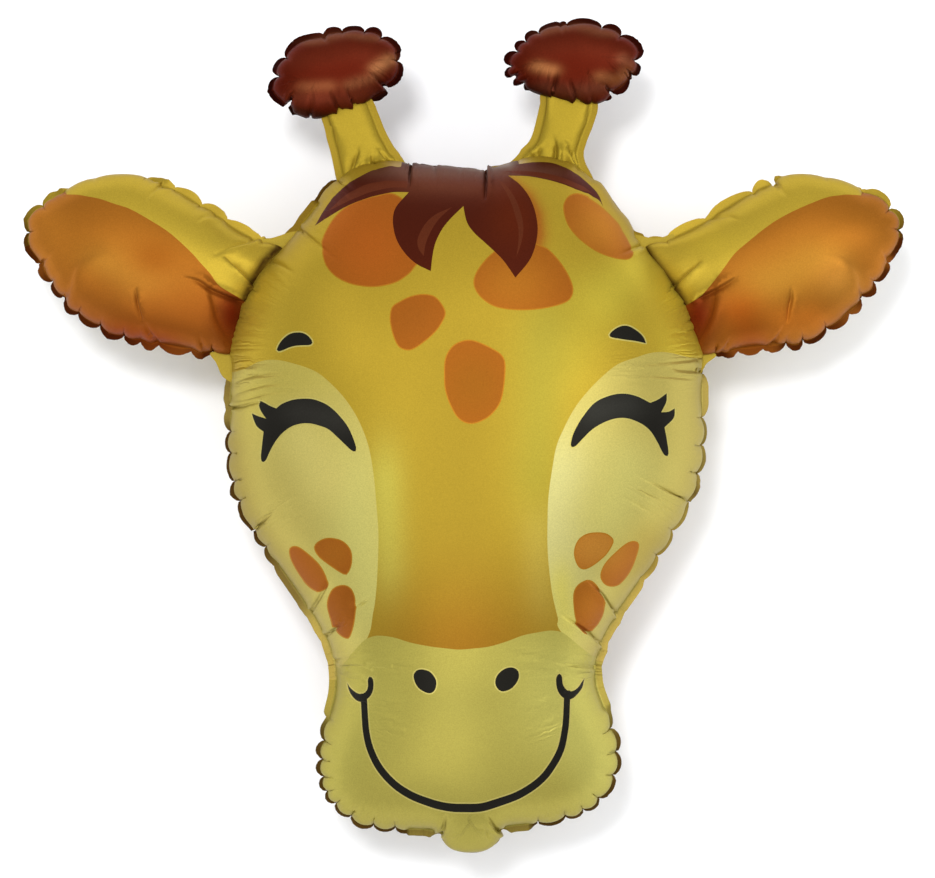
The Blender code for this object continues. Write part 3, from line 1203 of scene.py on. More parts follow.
    def relax(self) -> None:
        """Gathers the foil, lets it settle and presses its sharp folds in."""
        bm = self.bm
        cut_up(bm)
        bm.normal_update()
        bm.verts.index_update()
        column, ring = bm.verts.layers.int["column"], bm.verts.layers.int["ring"]
        home = np.array([vert.co[:] for vert in bm.verts])
        normal = np.array([vert.normal[:] for vert in bm.verts])
        own = np.array([vert[column] - 1 for vert in bm.verts])
        rings = np.array([vert[ring] for vert in bm.verts])
        gap, beside = nearest(home[:, :2], self.flat[self.edge])
        beside = np.where(own >= 0, own, beside)
        plan_gap = np.where(own >= 0, self.ring_gaps[rings], gap + self.rim)
        reach_in = np.hypot(home[:, 2], plan_gap)
        facing = np.concatenate([self.facing, np.zeros((len(self.facing), 1))], axis=1)[beside]
        level = np.clip(reach_in / (6 * MM), 0, 1)[:, None]
        way = normal * level + facing * (1 - level)
        way /= np.linalg.norm(way, axis=1)[:, None]
        edges = np.array([[vert.index for vert in edge.verts] for edge in bm.edges])
        faces = np.array([[vert.index for vert in face.verts] for face in bm.faces])
        valley = self.valley[beside] * np.exp(-((reach_in / self.reach[beside]) ** 1.5))
        crown = self.crown[beside] * np.exp(-reach_in / CROWN_REACH)
        bulge = self.fullness[beside] * self.crown[beside] ** 2 * BULGE * (reach_in / BULGE_REACH)
        bulge *= np.exp(1.0 - reach_in / BULGE_REACH)
        swing = self.swing[beside] * (0.30 * crown - 1.5 * valley) + bulge
        gathered = home + swing[:, None] * way
        excess = self.excess[beside] * disc_excess(plan_gap / self.half_width) / FULL_EXCESS
        rest = self._cut_lengths(home, edges, facing, excess)
        place = self._settled(gathered, edges, faces, rest, rings == self.steps)
        for vert, co in zip(bm.verts, place):
            vert.co = co
        bm.normal_update()
        sunk = sum(fold.sink(home[:, :2]) for fold in self.folds)
        for vert, depth in zip(bm.verts, sunk):
            if depth:
                vert.co -= vert.normal * float(depth)

    def _cut_lengths(
        self, home: Array, edges: Array, facing: Array, excess: Array
    ) -> Array:
        """Finds how long each edge of the mesh is in the cut foil.

        Args:
            home: Place of each point of the blown foil.
            edges: Indexes of every edge's points.
            facing: The seam's way out beside each point.
            excess: Spare length along the seam at each point.

        Returns:
            The length of every edge.
        """
        a, b = edges[:, 0], edges[:, 1]
        hoop = np.stack([-facing[:, 1], facing[:, 0]], axis=1)
        span = home[b] - home[a]
        length = np.linalg.norm(span, axis=1)
        along = hoop[a] + hoop[b]
        along /= np.maximum(np.linalg.norm(along, axis=1), 1e-9)[:, None]
        share = ((span[:, :2] * along).sum(axis=1) / length) ** 2
        spare = 0.5 * (excess[a] + excess[b])
        return length * np.sqrt(1.0 + ((1.0 + spare) ** 2 - 1.0) * share)

    def _settled(
        self, home: Array, edges: Array, faces: Array, rest: Array, on_seam: Array
    ) -> Array:
        """Lets the gathered foil settle: it folds and bends, but hardly stretches.

        Args:
            home: Place of each point of the gathered foil.
            edges: Indexes of every edge's points.
            faces: Indexes of every triangle's points.
            rest: Length of every edge in the cut foil.
            on_seam: Whether each point stays at the seam's height.

        Returns:
            The settled places.
        """
        a, b = edges[:, 0], edges[:, 1]
        count = len(home)
        uses = np.bincount(a, minlength=count) + np.bincount(b, minlength=count)
        place = home.copy()
        rounds = self.rounds
        for turn in range(rounds):
            span = place[b] - place[a]
            length = np.linalg.norm(span, axis=1)
            strain = (length - rest) / length
            pull = 0.5 * np.where(strain > 0, 1.0, PUSH_STIFFNESS) * strain
            move = pull[:, None] * span
            shift = gathered_to(a, move, count) - gathered_to(b, move, count)
            place += OVERSHOOT * shift / uses[:, None]
            if turn % FACING_ROUNDS == 0:
                corner = place[faces]
                facet = np.cross(corner[:, 1] - corner[:, 0], corner[:, 2] - corner[:, 0])
                facet = sum(gathered_to(faces[:, k], facet, count) for k in range(3))
                facet /= np.linalg.norm(facet, axis=1)[:, None]
            place += PRESSURE_STEP * facet
            off = place - home
            spread = gathered_to(a, off[b], count) + gathered_to(b, off[a], count)
            off += BENDING * (spread / uses[:, None] - off)
            off *= 1.0 - ANCHOR
            far = np.linalg.norm(off, axis=1)
            off *= np.minimum(1.0, MOST_MOVE / np.maximum(far, 1e-9))[:, None]
            off[on_seam, 2] = 0.0
            place = home + off
        log.info("%s: %d points relaxed over %d rounds", self.name, count, rounds)
        return place

    def add_seal(self) -> None:
        """Adds the flat welded edge outside the seam, which stands out in lobes."""
        bm = self.bm
        column, ring = bm.verts.layers.int["column"], bm.verts.layers.int["ring"]
        seam = {vert[column] - 1: vert.co.copy() for vert in bm.verts if vert[ring] == self.steps}
        start = np.array([seam[number][:2] for number in range(len(self.columns))])
        start += (1.0 - self.fullness)[:, None] * (smoothed(start, 3) - start)
        pinched = np.maximum(self.fullness, self.scallop)
        width = self.seal * (1.0 - pinched * (1.0 - SEAL_PINCH) * (1.0 - self.crown))
        width *= 1.0 - (1.0 - LOBE_SHARE * self.size) * self.fullness
        for tuck in self.tucks:
            width *= 1.0 - 0.9 * tuck.share(start)
        lean = np.radians(LEAN[0] + (LEAN[1] - LEAN[0]) * self.tilt * self.crown) * self.fullness
        inks = self._print_at(start + SEAL_PRINT * self.facing)
        rim = [edge for edge in bm.edges if edge.is_boundary]
        for step in range(1, SEAL_RINGS + 1):
            out = step / SEAL_RINGS * width * np.cos(lean)
            plan = start + out[:, None] * self.facing
            rim = self._extruded(bm, rim, plan, np.zeros(len(plan)), self.steps + step, inks)
        self.drop = width * np.sin(lean)
        cut_up(bm)

    def close(self) -> None:
        """Gives the seal its thickness, adds the back foil and welds the two at their edge."""
        bm = self.bm
        ring = bm.verts.layers.int["ring"]
        for vert in bm.verts:
            outer = max(0, vert[ring] - self.steps) / SEAL_RINGS
            vert.co.z = max(vert.co.z, 0.0) + self.seal_half * (1.0 - outer)
        side = bm.faces.layers.int.new("side")
        for face in bm.faces:
            face[side] = Side.FRONT.value
        for face in add_back(bm, 0.0):
            face[side] = Side.BACK.value
        last = self.steps + SEAL_RINGS
        bmesh.ops.remove_doubles(bm, verts=[vert for vert in bm.verts if vert[ring] == last], dist=1e-6)
        for edge in bm.edges:
            if edge.verts[0][ring] == last and edge.verts[1][ring] == last:
                edge.smooth = False

    def settle(self) -> None:
        """Ruffles the seal up and down, and lays the balloon's back on the floor."""
        bm = self.bm
        column, ring = bm.verts.layers.int["column"], bm.verts.layers.int["ring"]
        for vert in bm.verts:
            if vert[column]:
                outer = max(0, vert[ring] - self.steps) / SEAL_RINGS
                vert.co.z -= float(self.drop[vert[column] - 1]) * outer
            vert.co.z = max(vert.co.z + SEAM_HEIGHT, FLOOR_GAP)

    def paint(self, mesh: bpy.types.Mesh) -> None:
        """Prints the foil: an ink for every face, with soft shades and painted light and shade at its
        corners.

        Args:
            mesh: The chamber's finished mesh.
        """
        bm = self.bm
        ink, side = bm.faces.layers.int["ink"], bm.faces.layers.int["side"]
        numbers = np.array([face[ink] for face in bm.faces])
        sides = np.array([face[side] for face in bm.faces])
        places = np.array([vert.co[:] for vert in bm.verts])
        seen = PICTURE.seen(places)
        corners = corners_of(mesh)
        colour = np.ones((len(corners), 3, 4))
        for number, own in enumerate([self.ground] + [art.ink for art in self.artwork]):
            for at in Side:
                rows = (numbers == number) & (sides == at.value)
                if rows.any():
                    shown = own if at is Side.FRONT or own in BACK_INKS else self.ground
                    tone = shaded(shown, seen[corners[rows].reshape(-1)])
                    colour[rows, :, :3] = tone.reshape(-1, 3, 3)
        seal_shade, seal_reflection = self._seal_tones(seen)
        # Painted reflection: the seal is tinted where it lies smooth, at the waist and on the stalks
        colour[:, :, :3] *= 1.0 - seal_reflection[corners][:, :, None] * (1.0 - np.array(self.seal_reflection_tint))
        # Painted shade: the seal is darkened
        colour[:, :, :3] *= 1.0 - seal_shade[corners][:, :, None] * (1.0 - SEAL_SHADE_TINT)
        self._mark_puckers(mesh, places, seen)
        store_print(mesh, colour)

    def _seal_tones(self, seen: Array) -> tuple[Array, Array]:
        """Finds the seal's painted shade and its painted reflection tint.

        Args:
            seen: Picture point of every point of the mesh.

        Returns:
            Both as shares for every point, 0 inside the seal.
        """
        bm = self.bm
        column, ring = bm.verts.layers.int["column"], bm.verts.layers.int["ring"]
        seal_shade, sealed = np.zeros(len(seen)), np.zeros(len(seen))
        for index, vert in enumerate(bm.verts):
            if vert[column] and vert[ring] > self.steps:
                # Edges that face up the picture face the light, so less shade is painted on them
                rise = max(0.0, float(self.facing[vert[column] - 1][1]))
                # Painted shade on the seal, darker where it is lobed
                dark = SEAL_SHADE_LEVELS[0] + (SEAL_SHADE_LEVELS[1] - SEAL_SHADE_LEVELS[0]) * self.fullness[vert[column] - 1]
                sealed[index] = 1.0
                seal_shade[index] = dark * (1.0 - rise * (1.0 - self.upper_seal_shade))
        seal_reflection = np.zeros(len(seen))
        for patch in self.seal_reflection_patches:
            seal_reflection = np.maximum(seal_reflection, patch.strength(seen))
        return seal_shade * (1.0 - seal_reflection), seal_reflection * sealed

    def _mark_puckers(self, mesh: bpy.types.Mesh, places: Array, seen: Array) -> None:
        """Stores where the fine puckers run, so that the finish can raise them.

        Args:
            mesh: The chamber's finished mesh.
            places: Place of each of its points.
            seen: Picture point of each of them.
        """
        gap, beside = nearest(places[:, :2], self.columns)
        turn = self.run[beside] / self.seam_length * 2 * math.pi
        around = self.seam_length / (2 * math.pi)
        course = np.stack([around * np.cos(turn), around * np.sin(turn), PUCKER_STRETCH * gap], axis=1)
        depth = np.zeros(len(places))
        for patch in self.puckers:
            depth = depth + patch.strength(seen)
        depth = depth + PUCKER_GROUND * self.fullness[beside] * np.exp(-((gap / PUCKER_REACH) ** 2))
        depth *= np.clip(gap / (3 * MM), 0.25, 1.0)
        depth *= np.clip(1.8 - 2.2 * gap / self.half_width, 0.0, 1.0)
        flow = mesh.attributes.new("pucker_course", "FLOAT_VECTOR", "POINT")
        flow.data.foreach_set("vector", course.reshape(-1).astype(np.float32))
        mark = mesh.attributes.new("pucker_depth", "FLOAT", "POINT")
        mark.data.foreach_set("value", depth.astype(np.float32))


@dataclass(frozen=True)
class FlatFoil:
    """A flat web of welded foil outside the chambers.

    Attributes:
        name: Name of the piece.
        outline: Its outline, in the units of the seams.
        half: Half of its thickness.
        step: Distance between two points of its outline.
    """

    name: str
    outline: Points
    half: float = 0.25 * MM
    step: float = 1.5 * MM

    def make(self, finish: bpy.types.Material) -> bpy.types.Object:
        """Builds the piece and dresses it.

        Args:
            finish: The foil's material.

        Returns:
            The finished piece.
        """
        loop = even_line(spline(placed(self.outline), closed=True), self.step, closed=True)
        loop = loop if area_of(loop) > 0 else loop[::-1]
        bm = bmesh.new()
        bmesh.ops.create_circle(bm, cap_ends=True, segments=len(loop), radius=1.0)
        bm.verts.ensure_lookup_table()
        for vert, (x, y) in zip(bm.verts, loop):
            vert.co = (x, y, SEAM_HEIGHT + self.half)
        top = bm.faces[:]
        bmesh.ops.recalc_face_normals(bm, faces=top)
        if top[0].normal.z < 0:
            bmesh.ops.reverse_faces(bm, faces=top)
        cut_up(bm)
        add_back(bm, SEAM_HEIGHT)
        bmesh.ops.bridge_loops(bm, edges=[edge for edge in bm.edges if edge.is_boundary])
        cut_up(bm)
        bmesh.ops.recalc_face_normals(bm, faces=bm.faces[:])
        mesh = bpy.data.meshes.new(self.name)
        bm.to_mesh(mesh)
        seen = PICTURE.seen(np.array([vert.co[:] for vert in bm.verts]))
        bm.free()
        corners = corners_of(mesh)
        colour = np.ones((len(corners), 3, 4))
        colour[:, :, :3] = shaded(Ink.WEB, seen)[corners]
        store_print(mesh, colour)
        return as_piece(mesh, finish)


@dataclass(frozen=True)
class Graph:
    """The nodes of a material or of the surroundings.

    Attributes:
        tree: The node tree.
    """

    tree: bpy.types.NodeTree

    def set_inputs(self, node: bpy.types.Node, inputs: dict[str | int, object]) -> None:
        """Sets or links a node's inputs.

        Args:
            node: The node.
            inputs: A value, or the output that is linked, for each input.
        """
        for name, value in inputs.items():
            if isinstance(value, bpy.types.NodeSocket):
                self.tree.links.new(value, node.inputs[name])
            else:
                node.inputs[name].default_value = value

    def add(self, kind: str, inputs: dict[str | int, object], **settings: str) -> bpy.types.Node:
        """Adds a shader node.

        Args:
            kind: What kind of shader node it is.
            inputs: A value, or the output that is linked, for each input.
            settings: Its other settings.

        Returns:
            The node.
        """
        node = self.tree.nodes.new("ShaderNode" + kind)
        for name, value in settings.items():
            setattr(node, name, value)
        self.set_inputs(node, inputs)
        return node

    def noise(self, place: bpy.types.NodeSocket, scale: float, detail: float) -> bpy.types.NodeSocket:
        """A noise on a piece's own coordinates, with its cells to the metre and its finer layers."""
        return self.add("TexNoise", {"Vector": place, "Scale": scale, "Detail": detail}).outputs["Fac"]


@dataclass(frozen=True)
class FoilFinish:
    """Satin foil with ink printed over its metal, a fine grain and a mottled gloss."""

    metallic: float = 0.50
    roughness: float = 0.38
    gloss_spread: float = 0.05  # how far the roughness strays from its middle
    specular: float = 0.12
    edge_tint: Colour = (0.42, 0.36, 0.28)  # of the gloss, at a grazing angle
    grain: tuple[float, float] = (900.0, 2.0)  # cells to the metre, and finer layers
    grain_tone: tuple[float, float] = (0.91, 1.08)
    mottle: tuple[float, float] = (38.0, 3.0)
    pucker_width: float = 7.0 * MM
    pucker_depth: float = 2.4 * MM

    def material(self) -> bpy.types.Material:
        """Makes the node material, which reads the piece's own print.

        Returns:
            The material.
        """
        material = bpy.data.materials.new("printed_satin_foil")
        material.use_nodes = True
        graph = Graph(material.node_tree)
        place = graph.add("TexCoord", {}).outputs["Object"]
        grain = graph.noise(place, *self.grain)
        low, high = self.grain_tone
        tone = graph.add(
            "MapRange", {"Value": grain, "From Min": 0.3, "From Max": 0.7, "To Min": low, "To Max": high}
        )
        printed = graph.add("VertexColor", {}, layer_name="print").outputs["Color"]
        ink = graph.add("VectorMath", {0: printed, "Scale": tone.outputs["Result"]}, operation="SCALE")
        rough = self.roughness - self.gloss_spread, self.roughness + self.gloss_spread
        mottle = graph.noise(place, *self.mottle)
        satin = graph.add("MapRange", {"Value": mottle, "To Min": rough[0], "To Max": rough[1]})
        graph.set_inputs(
            material.node_tree.nodes["Principled BSDF"],
            {
                "Base Color": ink.outputs["Vector"],
                "Metallic": self.metallic,
                "Roughness": satin.outputs["Result"],
                "Specular IOR Level": self.specular,
                "Specular Tint": (*self.edge_tint, 1.0),
                "Normal": self._puckers(graph),
            },
        )
        return material

    def _puckers(self, graph: Graph) -> bpy.types.NodeSocket:
        """Raises the fine puckers beside the seam.

        Args:
            graph: The foil's nodes.

        Returns:
            The bumped normal.
        """
        course = graph.add("Attribute", {}, attribute_name="pucker_course").outputs["Vector"]
        depth = graph.add("Attribute", {}, attribute_name="pucker_depth").outputs["Fac"]
        waves = graph.noise(course, 1.0 / self.pucker_width, 1.0)
        around = graph.add("Math", {0: waves, 1: 0.5}, operation="SUBTRACT").outputs["Value"]
        folded = graph.add("Math", {0: around}, operation="ABSOLUTE").outputs["Value"]
        raised = graph.add("Math", {0: folded, 1: depth}, operation="MULTIPLY").outputs["Value"]
        bump = graph.add("Bump", {"Distance": self.pucker_depth, "Height": raised})
        return bump.outputs["Normal"]


@dataclass(frozen=True)
class SoftBox:
    """A square soft light."""

    name: str
    place: tuple[float, float, float]
    size: float
    power: float
    glossy: bool = True  # whether the foil mirrors it

    def add(self) -> None:
        """Adds the light to the scene, facing the balloon."""
        light = bpy.data.lights.new(self.name, "AREA")
        light.shape = "SQUARE"
        light.size = self.size
        light.energy = self.power
        holder = bpy.data.objects.new(self.name, light)
        holder.location = self.place
        way = Vector((0, 0, 0.1)) - Vector(self.place)
        holder.rotation_euler = way.to_track_quat("-Z", "Y").to_euler()
        holder.visible_glossy = self.glossy
        bpy.context.scene.collection.objects.link(holder)


@dataclass(frozen=True)
class Studio:
    """The floor, the soft lights, the pale surroundings and the camera."""

    sensor: float = 36.0  # the camera's, in millimetres
    floor_half: float = 6.0
    paper: Colour = (0.95, 0.96, 0.98)  # the floor
    horizon: Colour = (0.35, 0.36, 0.39)
    zenith: Colour = (0.93, 0.95, 0.98)
    glow: float = 0.64  # how bright the surroundings are
    lights: tuple[SoftBox, ...] = (
        SoftBox("key", (-0.50, 0.90, 3.9), 0.7, 75.0, glossy=False),
        SoftBox("soft_box", (0.35, 0.15, 3.6), 4.6, 74.0),
        SoftBox("low_box", (-0.6, -2.1, 2.3), 1.8, 9.0),
        SoftBox("side_box", (2.2, 0.5, 2.4), 1.5, 12.0),
    )

    def build(self) -> None:
        """Sets up the floor, lights, surroundings and camera."""
        scene = bpy.context.scene
        scene.view_settings.view_transform = "Standard"
        self._lay_floor(scene)
        for light in self.lights:
            light.add()
        self._surround(scene)
        camera = bpy.data.cameras.new("camera")
        camera.sensor_width = self.sensor
        camera.lens = self.sensor * PICTURE.distance / (PICTURE.width * PICTURE.point)
        camera.clip_end = 20.0
        eye = bpy.data.objects.new("camera", camera)
        eye.location = PICTURE.camera_place()
        scene.collection.objects.link(eye)
        scene.camera = eye

    def _lay_floor(self, scene: bpy.types.Scene) -> None:
        """Lays a floor of plain pale paper.

        Args:
            scene: The scene.
        """
        bm = bmesh.new()
        bmesh.ops.create_grid(bm, x_segments=1, y_segments=1, size=self.floor_half)
        mesh = bpy.data.meshes.new("studio_floor")
        bm.to_mesh(mesh)
        bm.free()
        floor = bpy.data.objects.new("studio_floor", mesh)
        scene.collection.objects.link(floor)
        paper = bpy.data.materials.new("studio_paper")
        paper.use_nodes = True
        look = {"Base Color": (*self.paper, 1), "Roughness": 0.9, "Specular IOR Level": 0.1}
        Graph(paper.node_tree).set_inputs(paper.node_tree.nodes["Principled BSDF"], look)
        mesh.materials.append(paper)

    def _surround(self, scene: bpy.types.Scene) -> None:
        """Lights the scene from a pale sky that darkens towards the horizon.

        Args:
            scene: The scene.
        """
        world = bpy.data.worlds.new("studio")
        world.use_nodes = True
        graph = Graph(world.node_tree)
        place = graph.add("TexCoord", {}).outputs["Generated"]
        height = graph.add("SeparateXYZ", {"Vector": place}).outputs["Z"]
        sky = graph.add("ValToRGB", {"Fac": height})
        low, high = sky.color_ramp.elements
        low.position, low.color = 0.0, (*self.horizon, 1)
        high.position, high.color = 0.80, (*self.zenith, 1)
        look = {"Color": sky.outputs["Color"], "Strength": self.glow}
        graph.set_inputs(world.node_tree.nodes["Background"], look)
        scene.world = world


def black(*points: tuple[float, float], **details: tuple[float, ...]) -> Artwork:
    """A black shape of the print, with its corners or its line width."""
    return Artwork(Ink.BLACK, points, **details)


def with_halos(*shapes: Artwork) -> tuple[Artwork, ...]:
    """Shapes of the print over their thin pale halos."""
    halos = [replace(shape, ink=Ink.HALO, margin=HALO_WIDTH) for shape in shapes]
    return (*halos, *shapes)


def spot(*points: tuple[float, float]) -> tuple[Artwork, Artwork]:
    """An orange spot of the print over its thin darker rim."""
    rim, filling = SPOT_RIM
    return (Artwork(Ink.SPOT_RIM, points, margin=rim), Artwork(Ink.ORANGE, points, margin=filling))


# Outlines of the seam, in thousandths of the balloon's width from the middle of the face
HEAD_SEAM: Points = (
    (-13, 301), (-42, 303), (-70, 305.5), (-98, 305), (-120, 298), (-139, 285), (-157, 263), (-172, 243),
    (-188, 224), (-206, 203), (-223, 184), (-237, 164), (-248, 142), (-254, 116), (-256, 80), (-257, 30),
    (-257, -24), (-248, -70), (-224, -114), (-184, -172), (-157, -213), (-142, -247), (-138, -286),
    (-149, -334), (-154, -370), (-146, -406), (-110, -434), (-50, -441), (-36, -441), (-27, -444),
    (-21.5, -449.5), (-19.5, -456), (-15, -462), (-7, -466.5), (4, -468.5), (16, -468.5), (27, -466),
    (35, -461), (40, -454.5), (42, -448), (45, -442), (52, -438), (65, -436), (90, -433), (138, -419),
    (164, -391), (170, -356), (159, -315), (147, -278), (151, -243), (170, -202), (212, -141), (238, -99),
    (259, -53), (267, -8), (267, 50), (266, 90), (261, 120), (252, 145), (240, 165), (228, 181),
    (215, 197), (191, 226), (170, 253), (152, 278), (136, 295), (124, 304), (110, 309), (94, 311),
    (72, 310), (50, 303.5), (29, 298), (7, 299),
)
LEFT_EAR_SEAM: Points = (
    (-203, 207), (-230, 217), (-256, 229), (-283, 248), (-312, 265), (-344, 281), (-378, 287),
    (-413, 284), (-446, 271), (-470, 259), (-484, 243), (-485, 222), (-474, 200), (-460, 174),
    (-443, 153), (-419, 135), (-392, 120), (-357, 111), (-318, 104), (-284, 98), (-262, 98), (-250, 108),
    (-244, 130), (-235, 152), (-221, 174), (-207, 192),
)
RIGHT_EAR_SEAM: Points = (
    (266, 99), (286, 97), (316, 103), (349, 107), (378, 109), (401, 119), (424, 136), (443, 153),
    (460, 168), (473, 189), (482, 209), (491, 230), (487, 248), (471, 264), (445, 274), (415, 284),
    (378, 287), (343, 277), (309, 258), (283, 242), (258, 228), (229, 216), (209, 209), (209, 194),
    (222, 176), (236, 156), (248, 132), (255, 110),
)
LEFT_STALK_SEAM: Points = (
    (-69, 302), (-75, 311), (-84, 322), (-93, 337), (-99, 351), (-106, 369), (-109, 377), (-120, 382),
    (-135, 380), (-146, 374), (-150, 361), (-147, 345), (-141, 328), (-137, 311), (-134, 294),
    (-132, 283), (-124, 278), (-108, 281), (-90, 287), (-74, 293),
)
RIGHT_STALK_SEAM: Points = (
    (142, 284), (137, 295), (134, 303), (130, 322), (134, 339), (140, 353), (147, 375), (143, 385),
    (125, 388), (105, 391), (96, 385), (95, 365), (90, 342), (82, 321), (73, 311), (60, 303), (58, 294),
    (68, 287), (95, 284), (115, 280), (132, 274),
)
LEFT_BULB_SEAM: Points = (
    (-76, 413), (-78, 435), (-97, 451), (-124, 455), (-153, 450), (-183, 440), (-202, 421), (-210, 396),
    (-199, 380), (-172, 365), (-143, 371), (-117, 379), (-92, 392),
)
RIGHT_BULB_SEAM: Points = (
    (196, 435), (182, 449), (161, 459), (134, 463), (102, 459), (79, 449), (64, 435), (55, 417),
    (62, 405), (78, 397), (102, 388), (125, 383), (146, 380), (164, 388), (182, 401), (195, 417),
)
# The flat webs of foil that are left in the corners between the ears and the head
WEBS: tuple[FlatFoil, ...] = (
    FlatFoil(
        "upper_left_web",
        ((-215, 205), (-196, 205), (-182, 225), (-190, 231), (-214, 224), (-238, 220)),
    ),
    FlatFoil(
        "upper_right_web",
        ((200, 212), (215, 208), (236, 214), (240, 228), (220, 223), (195, 227)),
    ),
    FlatFoil(
        "lower_left_web",
        ((-284, 94), (-278, 82), (-270, 66), (-256, 62), (-253, 92)),
    ),
    FlatFoil(
        "lower_right_web",
        ((288, 92), (260, 97), (259, 72), (270, 70), (277, 81)),
    ),
)

# The print, in picture points, the lowest shapes first
FACE_LINES: tuple[Artwork, ...] = with_halos(
    # Eyebrows
    black(
        (278.3, 350), (280, 345.5), (283, 341), (287.7, 336.5), (292.5, 333.9), (297.5, 333),
        (303.5, 333.3), (308.7, 336), (312.7, 340.5), (313.3, 343.5), (311, 345.3), (304, 345.6),
        (297.5, 346), (291.5, 347.3), (285.5, 349.8), (280.5, 351.5),
    ),
    black(
        (608.7, 336.8), (612.3, 331), (620, 326.8), (627.7, 326.8), (636.3, 331.7), (642.3, 337.8),
        (644.7, 343.8), (635, 341.6), (620, 339.5),
        corners=(6,),
    ),
    # Eyes
    black(
        (277.5, 408.5), (284, 403.5), (296.5, 399.4), (312, 399), (325, 403.3), (334, 409.5),
        (341.5, 417.3), (348.3, 426.3), (353, 436), (356.6, 446.5), (356, 451.5), (351.8, 450),
        (345.3, 444), (338.3, 437.3), (329.5, 429.5), (320.5, 425.8), (311.5, 423.6), (303, 423.6),
        (294, 426), (286.8, 430.5), (281, 436), (276.5, 442), (272.8, 448.5), (269.5, 455.5),
        (267, 460.5), (264, 462), (262.4, 458), (263.2, 448), (265, 432), (258.5, 426.8), (255.3, 420),
        (253.3, 413.4), (259, 416), (267.5, 418.8), (263.5, 413), (260.8, 407.5), (260.3, 400.9),
        (265.5, 402.6), (271.5, 406),
        corners=(0, 28, 31, 33, 36),
    ),
    black(
        (570.2, 444), (573, 433), (581, 418.5), (593.4, 403.3), (608, 396), (622, 393.7), (635.7, 396.3),
        (649, 403), (657, 399.5), (665.3, 393.3), (664.9, 402), (660, 412.5), (667, 412), (673.3, 408.6),
        (672.2, 418.3), (663.2, 427.5), (665.5, 440), (667.1, 453), (665, 456), (661.3, 452.5),
        (655.5, 441), (647.5, 429.3), (635.5, 421.5), (622, 418), (608, 420.5), (593.5, 428),
        (583, 437.6), (575.5, 445.5), (571.3, 447),
        corners=(7, 9, 11, 13, 15),
    ),
    # Nostrils
    black(
        (414.1, 676.2), (415.4, 671.7), (418.9, 669.1), (424.5, 669), (430, 671), (434, 675.2),
        (436.5, 680.2), (436.3, 686.3), (434, 690.9), (430, 692.7), (424.9, 691.3), (419.9, 688.2),
        (416.2, 683.2),
    ),
    black(
        (495, 683.2), (495.6, 677.5), (498.7, 672.5), (503.7, 668.6), (509.3, 666.8), (514.3, 667.6),
        (517.8, 671), (518.4, 676), (516.4, 681.5), (512.3, 686.7), (507.3, 689.8), (501.7, 690.8),
        (497.4, 688.2),
    ),
    # Mouth
    black(
        (365, 693), (366, 716), (367.2, 731), (370.3, 746), (376.8, 761), (385.5, 773.5), (396.3, 784.5),
        (411, 793.8), (428, 800.5), (446, 805), (463, 806), (481, 805.3), (499, 800.4), (515.5, 794.7),
        (530.8, 786.3), (543.6, 775.4), (553.3, 761.5), (560.3, 747.5), (563.8, 731), (565.2, 716),
        (566, 690),
        width=(6.0, 8.4),
    ),
    # Its corners
    black(
        (349, 681.5), (351.5, 687), (356, 691), (360, 693.3), (364.5, 693), (368, 690), (369.2, 684.5),
        (369, 679), (371, 676), (374, 678.5), (374.6, 686), (373, 693), (368.5, 698.5), (361.5, 701.5),
        (355, 697.5), (350.5, 690),
        corners=(0,),
    ),
    black(
        (582.6, 677.5), (580.8, 687), (576, 694), (571, 698.3), (565, 699), (559.5, 695), (556, 688.5),
        (555, 681), (555.5, 676), (558.5, 673), (560.8, 676.5), (561.5, 683), (563.8, 687.7),
        (567.5, 690.7), (572.5, 690.2), (577.5, 686),
        corners=(0,),
    ),
)
